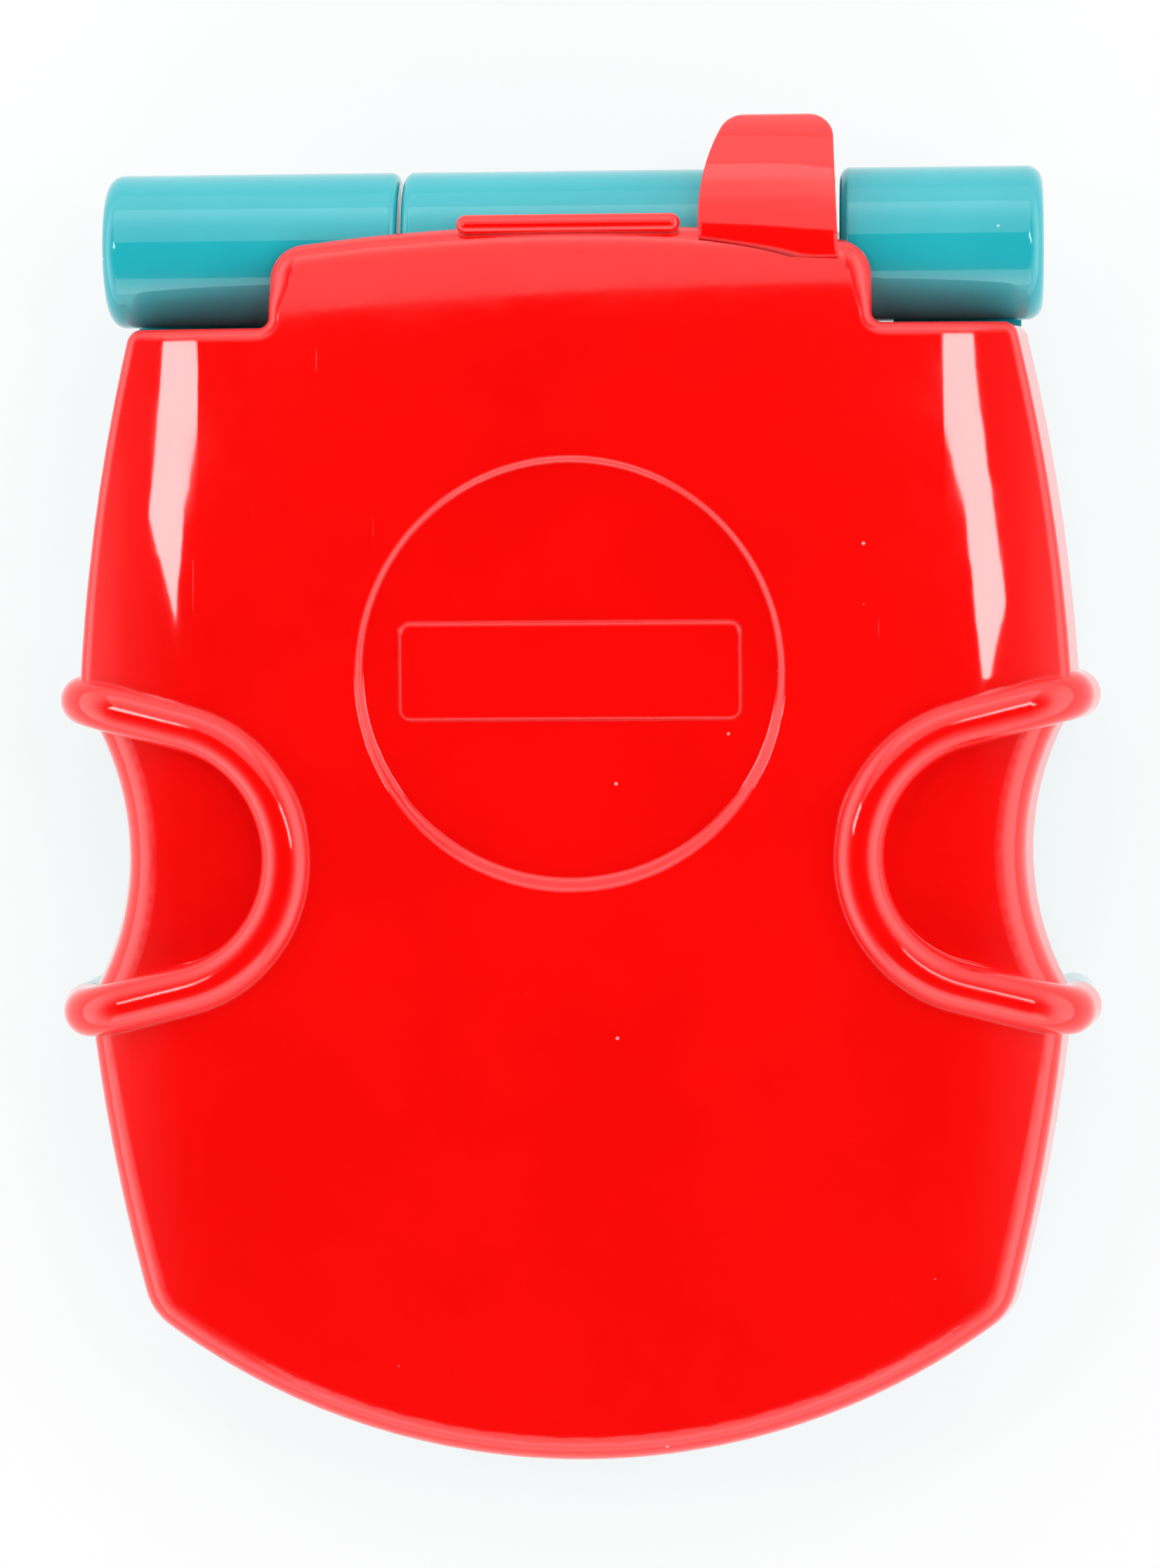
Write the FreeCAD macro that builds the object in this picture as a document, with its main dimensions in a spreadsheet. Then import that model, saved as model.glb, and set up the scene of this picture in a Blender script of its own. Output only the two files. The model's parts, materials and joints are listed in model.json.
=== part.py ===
"""Toy laptop computer: a red clamshell lid hinged on a teal base by a fat barrel across the back.

Millimetres. +X is to the right, +Y towards the hinge, +Z up. The origin is under the middle of
the object's box, on the surface that the feet stand on.
"""
import FreeCAD, Part
import math
import os
import re

V = FreeCAD.Vector
UP = V(0, 0, 1)
RIGHT = V(1, 0, 0)
BACK = V(0, 1, 0)
SIDES = (-1, 1)

doc = FreeCAD.newDocument("toy_laptop")
sheet = doc.addObject("Spreadsheet::Sheet", "sizes")

# Driving sizes. A row is how far a thing lies in front of the hinge axis, and an inset is how far it
# lies inside the widest part of the case.
SIZES = {
    # Case outline and heights
    "lid_reach": 238.7, "tab_reach": 24.95, "axis_height": 30.0, "lid_rise": 26.0,
    "half_width": 99.0, "side_arc": 385.0, "side_row": 107.55, "front_arc": 138.0,
    "front_corner": 12.0, "back_corner": 3.0, "parting_gap": 0.4, "foot_rise": 1.6,
    "crown_across": 650.0, "crown_along": 1000.0, "crown_row": 94.55, "side_draft": 8.0,
    "shoulder_inset": 27.0, "shoulder_arc": 90.0, "edge_round": 6.5, "back_round": 2.5,
    "lid_wall": 2.6, "lid_roof": 3.2, "base_wall": 2.6, "base_floor": 2.6, "base_round": 2.5,
    # Hinge
    "barrel_radius": 15.0, "barrel_wall": 2.6, "barrel_inset": 7.5, "barrel_dome": 3.2,
    "left_seam": 33.4, "right_seam": 51.7, "seam_gap": 0.8, "seam_round": 2.0,
    "back_gap": 0.9, "pin_radius": 2.5, "pin_fit": 0.05, "web_thick": 3.0, "pin_seat": 8.0,
    "bracket_drop": 10.0, "bracket_height": 11.0, "bracket_fit": 0.05, "bracket_inset": 4.0,
    # Hump over the barrel, its ridge bar and the tab
    "hump_half": 58.3, "hump_corner": 7.0, "hump_root": 2.0, "hump_bow": 4.0, "hump_round": 5.2,
    "lip_reach": 3.45, "hump_gap": 0.7,
    "bar_length": 39.4, "bar_radius": 1.9, "tab_root_left": 25.7, "tab_root_right": 52.0,
    "tab_tip_left": 30.7, "tab_tip_right": 50.8, "tab_bow": 2.6, "tab_thick": 3.2,
    "tab_sink": 0.9, "tab_centre_drop": 10.0, "tab_corner": 5.0,
    # Finger grips
    "grip_row": 118.6, "grip_depth": 17.7, "bead_path": 26.3, "bead_radius": 4.9,
    "bead_inset": 1.5, "bead_flare": 14.0, "bead_tilt": 9.0, "bead_sink": 2.2, "bead_bend": 10.0,
    "bead_low": 9.0, "scoop_drop": 4.5, "scoop_depth": 9.8, "scoop_arc": 55.0, "scoop_round": 8.0,
    "scoop_draft": 10.0, "grip_wall": 2.6,
    # Medallion dish and its bare plate
    "dish_radius": 41.3, "dish_row": 82.55, "dish_rim": 1.2, "dish_slope": 1.0, "dish_hollow": 0.6,
    "dish_soft": 1.0, "plate_length": 65.8, "plate_width": 18.6, "plate_rise": 0.8, "plate_corner": 2.0,
    # Lid inside
    "panel_thick": 2.6, "panel_recess": 0.6, "panel_fit": 0.2, "window_margin": 10.2,
    "window_width": 72.0, "window_row": 122.0, "window_corner": 6.0, "lens_thick": 1.6,
    "lens_fit": 0.2, "card_thick": 0.8, "card_margin": 4.0, "lid_boss_inset": 34.0,
    "lid_boss_back_row": 50.0, "lid_boss_front": 42.7, "bumper_radius": 4.0, "bumper_rise": 0.5,
    "bumper_inset": 39.0, "bumper_front": 24.7,
    # Screws
    "boss_radius": 4.0, "screw_radius": 1.5, "screw_head": 2.8, "screw_rise": 1.4, "screw_sink": 1.6,
    "screw_fit": 0.1, "screw_bite": 7.0, "board_bite": 3.5, "screw_tip_gap": 0.7,
    "drive_length": 3.4, "drive_width": 0.75, "drive_depth": 0.65,
    # Keyboard deck and keys
    "deck_sink": 6.0, "deck_thick": 2.5, "deck_fit": 0.2, "key_share": 0.47, "key_space": 4.0,
    "key_row_pitch": 25.0, "key_width": 21.0, "key_first_row": 118.0, "key_rise": 5.2,
    "key_fit": 0.4, "key_flange": 1.4, "key_flange_thick": 2.4, "key_play": 0.3, "key_round": 2.4,
    "key_top_round": 1.4, "key_stem": 4.0, "bar_key_width": 18.0, "ledge_width": 3.0,
    "ledge_thick": 3.0, "case_boss_inset": 29.0, "case_boss_back_row": 88.0, "case_boss_front": 48.7,
    # Electronics
    "board_gap": 1.2, "board_width": 96.0, "board_thick": 1.6, "board_row": 146.0,
    "board_height": 10.0, "post_radius": 4.0, "post_inset_x": 3.4, "post_inset_y": 4.5,
    "sheet_thick": 0.8, "sheet_margin": 8.4, "dome_radius": 6.5, "dome_top": 3.2, "dome_rise": 2.0,
    "chip_radius": 7.0, "chip_top": 5.0, "chip_rise": 2.0, "chip_row": 185.5,
    "speaker_radius": 20.0, "speaker_depth": 6.0, "speaker_inset": 37.0, "speaker_row": 60.0,
    "speaker_seat": 0.1, "speaker_rim": 2.5, "rim_thick": 1.0, "basket_wall": 2.0, "basket_lip": 1.0,
    "cone_gap": 0.2, "cone_rim_gap": 1.6, "cone_wall": 1.0, "cone_floor": 0.6, "cone_drop": 1.0,
    "dust_cap": 5.0, "magnet_radius": 10.0, "magnet_depth": 5.0, "grille_ring": 5.0,
    "grille_hole": 1.6, "switch_inset": 37.0, "switch_row": 60.0, "switch_travel": 8.0,
    "switch_length": 24.0, "switch_width": 12.0, "switch_depth": 6.0, "switch_corner": 1.0,
    "slider_stem": 4.0, "slider_fit": 0.3, "knob_length": 11.0, "knob_width": 8.0,
    "knob_rise": 4.6, "knob_corner": 2.0, "knob_round": 1.0, "light_radius": 3.5, "light_depth": 2.5,
    "light_inset": 37.0, "light_row": 34.0, "light_flange": 1.2, "light_fit": 0.1,
    # Batteries
    "cell_radius": 7.2, "cell_length": 49.0, "cell_round": 0.6, "cell_nub": 1.4,
    "cell_nub_radius": 2.7, "cell_pitch": 16.0, "cell_row": 42.0, "spring_room": 5.0,
    "spring_foot": 4.3, "spring_wall": 0.8, "contact_thick": 0.5, "contact_side": 11.0,
    "bay_wall": 2.0, "bay_margin": 2.0, "door_fit": 0.25, "door_thick": 2.2, "door_ledge": 2.0,
    "door_screw_reach": 5.3,
    # Feet
    "foot_radius": 6.0, "foot_sink": 1.0, "foot_round": 0.5, "foot_inset": 25.0,
    "foot_back_row": 34.0, "foot_front": 42.7,
    # How far a cutting tool runs past the face it opens
    "cut_past": 1.0,
}
# Places worked out from the driving sizes
PLACES = {
    "axis_y": "(lid_reach + tab_reach) / 2 - tab_reach",
    "lid_low": "axis_height + parting_gap / 2",
    "base_top": "axis_height - parting_gap / 2",
    "lid_top": "axis_height + lid_rise",
    "floor_top": "foot_rise + base_floor",
    "deck_top": "axis_height - deck_sink",
    "deck_low": "deck_top - deck_thick",
    "case_back_row": "barrel_radius + back_gap",
    "bracket_top": "axis_height - bracket_drop",
    "barrel_half": "half_width - barrel_inset",
    "pin_half": "barrel_half - barrel_wall - pin_fit",
    "bore_radius": "barrel_radius + hump_gap",
    "shoulder_start": "half_width - shoulder_inset",
    "grip_middle": "half_width - grip_depth",
    "grip_inside": "grip_middle - bead_path - grip_wall",
    "bead_out": "half_width - bead_inset",
    "scoop_waist": "half_width - scoop_depth",
    "lid_boss_x": "half_width - lid_boss_inset",
    "lid_boss_front_row": "lid_reach - lid_boss_front",
    "case_boss_x": "half_width - case_boss_inset",
    "case_boss_front_row": "lid_reach - case_boss_front",
    "bumper_x": "half_width - bumper_inset",
    "bumper_row": "lid_reach - bumper_front",
    "foot_x": "half_width - foot_inset",
    "foot_front_row": "lid_reach - foot_front",
    "hole_radius": "screw_radius + screw_fit",
    "head_room": "screw_head + screw_fit",
    "key_pitch": "key_share * grip_inside",
    "key_length": "key_pitch - key_space",
    "bar_key_length": "2 * key_pitch + key_length",
    "bar_key_row": "key_first_row + 2 * key_row_pitch",
    "board_length": "2 * (grip_inside - board_gap)",
    "board_top": "board_height + board_thick",
    "sheet_top": "board_top + sheet_thick",
    "post_x": "board_length / 2 - post_inset_x",
    "post_back_row": "board_row - board_width / 2 + post_inset_y",
    "post_front_row": "board_row + board_width / 2 - post_inset_y",
    "window_length": "2 * (grip_inside - window_margin)",
    "panel_low": "lid_low + panel_recess",
    "panel_top": "panel_low + panel_thick",
    "speaker_x": "speaker_inset - half_width",
    "speaker_top": "deck_low - speaker_seat",
    "speaker_low": "speaker_top - speaker_depth",
    "switch_x": "half_width - switch_inset",
    "light_x": "half_width - light_inset",
    "bay_length": "cell_length + cell_nub + spring_room + 2 * contact_thick",
    "bay_width": "cell_pitch + 2 * cell_radius + bay_margin",
    "door_top": "foot_rise + door_thick",
    "cell_height": "door_top + door_fit + cell_radius",
    "door_screw_x": "bay_length / 2 + door_screw_reach",
}
# A difference in length that counts as none
NEAR = 0.01
# How level a face is, from 0 upright to 1 flat: the most for a wall and the least for a top
WALL_LEVEL = 0.3
TOP_LEVEL = 0.4


def fill_sheet():
    """Write the driving sizes as plain numbers, and the worked-out places as formulas."""
    for row, (alias, value) in enumerate(SIZES.items(), start=1):
        sheet.set(f"A{row}", alias)
        sheet.set(f"B{row}", str(value))
        sheet.setAlias(f"B{row}", alias)
    for row, (alias, formula) in enumerate(PLACES.items(), start=1):
        sheet.set(f"D{row}", alias)
        sheet.set(f"E{row}", "=" + formula)
        sheet.setAlias(f"E{row}", alias)
    doc.recompute()


fill_sheet()
mm = {alias: float(sheet.get(alias)) for alias in list(SIZES) + list(PLACES)}
PAST = mm["cut_past"]
TALL = 2 * mm["lid_top"]


def ref(formula):
    """Turn a formula in plain size names into one that reads the sheet."""
    return re.sub(r"[a-z][a-z_]*[a-z]", lambda word: "sizes." + word.group(), formula)


def bound(kind, name, at, direction=UP, **formulas):
    """A primitive whose sizes and place are bound to formulas of the sheet's sizes."""
    thing = doc.addObject(kind, name)
    thing.Placement = FreeCAD.Placement(V(), FreeCAD.Rotation(UP, direction))
    for key, formula in formulas.items():
        thing.setExpression(key, ref(formula))
    for key, formula in zip("xyz", at):
        thing.setExpression("Placement.Base." + key, ref(formula))
    return thing


def cut(name, base, tools):
    """One solid with others taken out of it."""
    joined = doc.addObject("Part::MultiFuse", name + "_tools")
    joined.Shapes = tools
    left = doc.addObject("Part::Cut", name)
    left.Base = base
    left.Tool = joined
    return left


def feature(name, shape):
    """A shape that Part's own functions made from the sheet's sizes."""
    thing = doc.addObject("Part::Feature", name)
    thing.Shape = shape
    return thing


def round_edges(name, base, picked):
    """Round the edges of a solid that a test picks, each with its own pair of radii."""
    doc.recompute()
    rounded = doc.addObject("Part::Fillet", name)
    rounded.Base = base
    choices = []
    for number, edge in enumerate(base.Shape.Edges, start=1):
        radii = picked(base.Shape, edge)
        if radii:
            choices.append((number, *radii))
    rounded.Edges = choices
    doc.recompute()
    return rounded


def upright_edges(shape):
    """Edges that run straight up."""
    return [edge for edge in shape.Edges if isinstance(edge.Curve, Part.Line)
            and edge.BoundBox.ZLength > edge.Length - NEAR]


def middle_of(edge):
    """The point halfway along an edge."""
    return edge.valueAt((edge.FirstParameter + edge.LastParameter) / 2)


def edges_at(shape, height):
    """Edges that lie at a height."""
    return [edge for edge in shape.Edges if abs(middle_of(edge).z - height) < NEAR]


def rim_edge(shape, edge):
    """True for an edge where a steep wall meets a flatter face."""
    point = middle_of(edge)
    steepness = []
    for face in shape.ancestorsOfType(edge, Part.Face):
        steepness.append(abs(face.normalAt(*face.Surface.parameter(point)).z))
    return len(steepness) == 2 and min(steepness) < WALL_LEVEL and max(steepness) > TOP_LEVEL


def row_y(distance):
    """The Y of a row that lies a distance in front of the hinge axis."""
    return mm["axis_y"] - distance


def spot(x, distance, height):
    """The point at an X, a row and a height."""
    return V(x, row_y(distance), height)


def upright(radius, x, distance, low, high):
    """An upright cylinder on a place of the plan."""
    return Part.makeCylinder(radius, high - low, spot(x, distance, low))


def rounded_block(x, distance, length, width, low, high, corner):
    """A block with rounded upright corners about a place of the plan."""
    block = Part.makeBox(length, width, high - low, spot(x - length / 2, distance + width / 2, low))
    return block.makeFillet(corner, upright_edges(block))


def both_sides(x, *rows):
    """Places on both sides of the middle, one per row of the sheet."""
    return [(side * mm[x], mm[name]) for side in SIDES for name in rows]


LID_BOSSES = both_sides("lid_boss_x", "lid_boss_back_row", "lid_boss_front_row")
CASE_BOSSES = both_sides("case_boss_x", "case_boss_back_row", "case_boss_front_row")
BOARD_POSTS = both_sides("post_x", "post_back_row", "post_front_row")
FEET = both_sides("foot_x", "foot_back_row", "foot_front_row")


# Case outline

DRAFT = math.tan(math.radians(mm["side_draft"]))


def circles_meet(first, first_radius, second, second_radius):
    """The front-most point where two circles of the plan meet."""
    span = second - first
    along = (first_radius ** 2 - second_radius ** 2 + span.Length ** 2) / (2 * span.Length)
    off = math.sqrt(first_radius ** 2 - along ** 2)
    unit = V(span).normalize()
    foot = first + unit * along
    side = V(unit.y, -unit.x, 0) * off
    return min(foot + side, foot - side, key=lambda point: point.y)


def case_outline():
    """The plan of the lid and the base with sharp corners: straight back, bowed sides and front."""
    side_centre = spot(mm["half_width"] - mm["side_arc"], mm["side_row"], 0)
    front_centre = spot(0, mm["lid_reach"] - mm["front_arc"], 0)
    front = circles_meet(side_centre, mm["side_arc"], front_centre, mm["front_arc"])
    back_y = row_y(mm["case_back_row"])
    reach = math.sqrt(mm["side_arc"] ** 2 - (back_y - side_centre.y) ** 2)
    back = V(side_centre.x + reach, back_y, 0)
    widest = V(mm["half_width"], side_centre.y, 0)
    mirror = lambda point: V(-point.x, point.y, point.z)
    return Part.Wire([
        Part.LineSegment(mirror(back), back).toShape(),
        Part.Arc(back, widest, front).toShape(),
        Part.Arc(front, spot(0, mm["lid_reach"], 0), mirror(front)).toShape(),
        Part.Arc(mirror(front), mirror(widest), mirror(back)).toShape(),
    ])


def case_prism(inset, low, high):
    """The case plan, drawn in by an inset, as an upright prism with rounded corners."""
    outline = case_outline()
    if inset:
        outline = outline.makeOffset2D(-inset, 2)
    prism = Part.Face(outline).extrude(UP * (high - low))
    prism.translate(UP * low)
    for corner, at_front in (("front_corner", True), ("back_corner", False)):
        edges = [edge for edge in upright_edges(prism) if (middle_of(edge).y < 0) == at_front]
        radius = mm[corner] - inset
        if radius > 0:
            corners = sorted(edges, key=lambda edge: -abs(middle_of(edge).x))[:2]
            prism = prism.makeFillet(radius, corners)
    return prism


def drafted_case(low, high):
    """The case plan with its sides and front leaning in towards the top, and an upright back."""
    tall, span = high - low, 2 * mm["half_width"]
    far_row = mm["case_back_row"] + 2 * mm["lid_reach"]
    block = Part.makeBox(2 * span, 2 * mm["lid_reach"], tall, spot(-span, far_row, low))
    bows = [(side * (mm["half_width"] - mm["side_arc"]), mm["side_row"], mm["side_arc"]) for side in SIDES]
    bows.append((0, mm["lid_reach"] - mm["front_arc"], mm["front_arc"]))
    for x, row, radius in bows:
        bow = Part.makeCone(radius, radius - tall * DRAFT, tall, spot(x, row, low))
        # A quarter turn keeps the cone's seam off the side that is used
        bow.rotate(spot(x, row, low), UP, 90)
        block = block.common(bow)
    for corner, at_front in (("front_corner", True), ("back_corner", False)):
        edges = [edge for edge in block.Edges
                 if edge.BoundBox.ZLength > tall / 2 and (middle_of(edge).y < 0) == at_front]
        block = block.makeFillet(mm[corner], edges)
    return block


def crowned_slab(drop):
    """All that lies under the lid's crowned top, with the top let down by a drop."""
    top = mm["lid_top"]
    peak_y = row_y(mm["crown_row"])
    across = mm["crown_across"]
    shoulder = mm["shoulder_arc"]
    start = math.asin(mm["shoulder_start"] / across)
    shoulder_x = (across - shoulder) * math.sin(start)
    shoulder_z = top - across + (across - shoulder) * math.cos(start)
    beyond = mm["half_width"] + 2 * mm["bead_radius"]
    end = math.asin((beyond - shoulder_x) / shoulder)

    def on_shoulder(angle, side):
        return V(side * (shoulder_x + shoulder * math.sin(angle)), peak_y,
                 shoulder_z + shoulder * math.cos(angle))

    arcs = [Part.Arc(on_shoulder(start, -1), V(0, peak_y, top), on_shoulder(start, 1)).toShape()]
    for side in SIDES:
        halfway = on_shoulder((start + end) / 2, side)
        arcs.append(Part.Arc(on_shoulder(start, side), halfway, on_shoulder(end, side)).toShape())
    left, right = on_shoulder(end, -1), on_shoulder(end, 1)
    left_low, right_low = V(left.x, peak_y, -top), V(right.x, peak_y, -top)
    lines = [Part.LineSegment(*ends).toShape()
             for ends in ((left, left_low), (left_low, right_low), (right_low, right))]
    profile = Part.Face(Part.Wire(Part.__sortEdges__(arcs + lines)))
    centre = V(0, peak_y, top - mm["crown_along"])
    swing = math.degrees(math.asin(mm["lid_reach"] / mm["crown_along"]))
    profile.rotate(centre, RIGHT, -swing)
    slab = profile.revolve(centre, RIGHT, 2 * swing)
    slab.translate(UP * -drop)
    return slab


def lid_height(x, distance):
    """Height of the lid's crowned top at a place, inside the shoulders or on them."""
    start = math.asin(mm["shoulder_start"] / mm["crown_across"])
    if abs(x) <= mm["shoulder_start"]:
        fall = mm["crown_across"] * (1 - math.cos(math.asin(x / mm["crown_across"])))
    else:
        centre = (mm["crown_across"] - mm["shoulder_arc"]) * math.sin(start)
        angle = math.asin((abs(x) - centre) / mm["shoulder_arc"])
        fall = mm["crown_across"] * (1 - math.cos(start))
        fall += mm["shoulder_arc"] * (math.cos(start) - math.cos(angle))
    along = math.asin((distance - mm["crown_row"]) / mm["crown_along"])
    return mm["lid_top"] - fall - mm["crown_along"] * (1 - math.cos(along))


# Finger grips on both sides

FLARE = math.radians(mm["bead_flare"])


def flared(radius, reach):
    """Half the width of a U at a reach from its round end's middle, where its arms spread."""
    return radius * math.cos(FLARE) + (reach + radius * math.sin(FLARE)) * math.tan(FLARE)


def grip_zone(grow):
    """Both U-shaped zones of the finger grips, as prisms through the whole height."""
    radius = mm["bead_path"] + grow
    near = -radius * math.sin(FLARE)
    far = mm["grip_depth"] + 4 * mm["bead_radius"]
    zones = []
    for side in SIDES:
        middle = spot(side * mm["grip_middle"], mm["grip_row"], -PAST)
        corners = [middle + V(side * reach, edge * flared(radius, reach), 0)
                   for reach, edge in ((near, -1), (far, -1), (far, 1), (near, 1), (near, -1))]
        arms = Part.Face(Part.makePolygon(corners)).extrude(UP * TALL)
        zones.append(Part.makeCylinder(radius, TALL, middle).fuse(arms))
    return zones[0].fuse(zones[1])


def scoop_notch(low, slope):
    """Both large round tools that draw in the sides for the fingers, widening upwards by a slope."""
    radius = mm["scoop_arc"]
    notches = []
    for side in SIDES:
        centre = spot(side * (mm["scoop_waist"] + radius), mm["grip_row"], low)
        if slope:
            notches.append(Part.makeCone(radius, radius + TALL * slope, TALL, centre))
        else:
            notches.append(Part.makeCylinder(radius, TALL, centre))
    return notches[0].fuse(notches[1])


def bent_path(points, radius):
    """Edges of a path through corner points, with each corner rounded by a tangent arc."""
    edges = []
    begin = points[0]
    for before, corner, after in zip(points, points[1:], points[2:]):
        inward = (before - corner).normalize()
        onward = (after - corner).normalize()
        half_turn = (math.pi - inward.getAngle(onward)) / 2
        reach = radius * math.tan(half_turn)
        halfway = (inward + onward).normalize() * (radius / math.cos(half_turn) - radius)
        first, last = corner + inward * reach, corner + onward * reach
        edges.append(Part.LineSegment(begin, first).toShape())
        edges.append(Part.Arc(first, corner + halfway, last).toShape())
        begin = last
    edges.append(Part.LineSegment(begin, points[-1]).toShape())
    return edges


def tube(edges, radius):
    """A round bar along a path of lines and tangent arcs."""
    path = Part.Wire(edges)
    start = edges[0].valueAt(edges[0].FirstParameter)
    heading = edges[0].tangentAt(edges[0].FirstParameter)
    ring = Part.Wire(Part.makeCircle(radius, start, heading))
    return path.makePipeShell([ring], True, False)


def all_under(height):
    """All that lies under a height, as a tool."""
    span = 2 * mm["lid_reach"]
    return Part.makeBox(2 * span, 2 * span, TALL, V(-span, -span, height - TALL))


def bead_height():
    """Height of the rims' centre line at the middle of the grips."""
    return lid_height(mm["grip_middle"], mm["grip_row"]) - mm["bead_sink"]


def bead_reach():
    """Length of the rims' arms, from the middle of the round end to the leaning side."""
    lean = (bead_height() - mm["lid_low"]) * DRAFT
    return (mm["bead_out"] - lean - mm["grip_middle"]) / math.cos(math.radians(mm["bead_tilt"]))


def lid_beads():
    """The raised round rims of both grips: up the side, over the shoulder and round the scoop."""
    tilt = math.radians(mm["bead_tilt"])
    path, reach, height = mm["bead_path"], bead_reach(), bead_height()
    beads = []
    for side in SIDES:
        middle = spot(side * mm["grip_middle"], mm["grip_row"], height)
        outward = V(side * math.cos(tilt), 0, -math.sin(tilt))
        bends = []
        for edge in SIDES:
            root = middle - outward * path * math.sin(FLARE) + BACK * edge * path * math.cos(FLARE)
            shoulder = middle + outward * reach + BACK * edge * flared(path, reach)
            foot = V(side * mm["bead_out"], shoulder.y, mm["lid_low"])
            deep = foot + (foot - shoulder) * (mm["bead_radius"] / (shoulder.z - foot.z))
            bends.append([deep, shoulder, root])
        front, back = bends
        turn = Part.Arc(back[-1], middle - outward * path, front[-1]).toShape()
        up_run = bent_path(back, mm["bead_bend"])
        down_run = bent_path(front[::-1], mm["bead_bend"])
        rim = tube(up_run + [turn] + down_run, mm["bead_radius"])
        beads.append(rim.cut(all_under(mm["lid_low"])))
    return beads


def base_beads():
    """The same rims carried down the sides of the base, with rounded lower ends."""
    spread = flared(mm["bead_path"], bead_reach())
    beads = []
    for side in SIDES:
        for edge in SIDES:
            at = (side * mm["bead_out"], mm["grip_row"] + edge * spread)
            post = upright(mm["bead_radius"], *at, mm["bead_low"], mm["base_top"])
            beads.append(post.fuse(Part.makeSphere(mm["bead_radius"], spot(*at, mm["bead_low"]))))
    return beads


def scooped(body, core):
    """A case half with its grip zones swapped for the lower, waisted core."""
    return body.cut(grip_zone(0)).fuse(core)


# Lid

def hinge_bar(radius, half):
    """A round bar on the hinge axis, about the middle of the object."""
    start = V(-half, mm["axis_y"], mm["axis_height"])
    return Part.makeCylinder(radius, 2 * half, start, RIGHT)


HINGE_BORE = hinge_bar(mm["bore_radius"], 2 * mm["half_width"])


def hump_block(low):
    """The hump over the barrel: straight sides, a bowed lip at the back and soft corners."""
    half, front, lip = mm["hump_half"], 2 * mm["case_back_row"], -mm["lip_reach"]
    left, right = (spot(side * half, lip + mm["hump_bow"], low) for side in SIDES)
    left_front, right_front = (spot(side * half, front, low) for side in SIDES)
    plan = Part.Wire([Part.LineSegment(left_front, left).toShape(),
                      Part.Arc(left, spot(0, lip, low), right).toShape(),
                      Part.LineSegment(right, right_front).toShape(),
                      Part.LineSegment(right_front, left_front).toShape()])
    hump = Part.Face(plan).extrude(UP * (TALL - low))
    corners = [edge for edge in upright_edges(hump) if abs(middle_of(edge).y - left.y) < NEAR]
    return hump.makeFillet(mm["hump_corner"], corners)


def lid_block():
    """The lid's outer form with sharp rims: the case plan and the hump, under the crowned top."""
    low = mm["lid_low"]
    block = drafted_case(low, mm["lid_top"]).fuse(hump_block(low)).removeSplitter()
    root_y = row_y(mm["case_back_row"])
    roots = [edge for edge in upright_edges(block)
             if abs(middle_of(edge).y - root_y) < mm["hump_root"]
             and abs(abs(middle_of(edge).x) - mm["hump_half"]) < mm["hump_root"]]
    block = block.makeFillet(mm["hump_root"], roots)
    return block.common(crowned_slab(0)).Solids[0]


def lid_rim_radii(shape, edge):
    """Radii of a rim edge of the lid: tight at the back, growing along the sides and over the hump."""
    point = middle_of(edge)
    if point.z < mm["lid_low"] + NEAR or not rim_edge(shape, edge):
        return None
    tight, full, soft = mm["back_round"], mm["edge_round"], mm["hump_round"]
    starts_at_back = edge.valueAt(edge.FirstParameter).y > point.y
    if edge.Length > mm["lid_reach"] / 2 and abs(point.x) > mm["hump_half"]:
        return (tight, full) if starts_at_back else (full, tight)
    if point.y > row_y(mm["case_back_row"] - mm["hump_root"]):
        if abs(point.x) < mm["hump_half"] - NEAR:
            return (soft, soft)
        return (soft, tight) if starts_at_back else (tight, soft)
    if point.y > row_y(mm["case_back_row"] + mm["back_corner"]):
        return (tight, tight)
    return (full, full)


def lid_core():
    """The lower surface inside the lid's grips, rolled over at its waisted outer edge."""
    core = case_prism(0, mm["lid_low"], TALL).common(crowned_slab(mm["scoop_drop"]))
    slope = math.tan(math.radians(mm["scoop_draft"]))
    core = core.common(grip_zone(0)).cut(scoop_notch(mm["lid_low"], slope))
    rolls = []
    for edge in core.Edges:
        on_notch = any(isinstance(face.Surface, Part.Cone)
                       for face in core.ancestorsOfType(edge, Part.Face))
        if on_notch and middle_of(edge).z > mm["lid_low"] + NEAR and rim_edge(core, edge):
            rolls.append(edge)
    return core.makeFillet(mm["scoop_round"], rolls)


def dish_rim_height():
    """Height of the dish's floor at its rim."""
    return lid_height(mm["dish_radius"], mm["dish_row"]) - mm["dish_rim"]


def medallion_dish():
    """The tool for the round dish: sloping walls round a slightly hollow floor."""
    hollow, rim = mm["dish_hollow"], dish_rim_height()
    slope = mm["dish_slope"] / mm["dish_rim"]
    floor_radius = mm["dish_radius"] - mm["dish_slope"]
    radius = (floor_radius ** 2 + hollow ** 2) / (2 * hollow)
    floor_ball = Part.makeSphere(radius, spot(0, mm["dish_row"], rim - hollow + radius))
    low, tall = rim - 2 * hollow, 2 * (hollow + mm["dish_rim"])
    low_radius = floor_radius - 2 * hollow * slope
    cup = Part.makeCone(low_radius, low_radius + tall * slope, tall, spot(0, mm["dish_row"], low))
    return cup.common(floor_ball)


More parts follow.
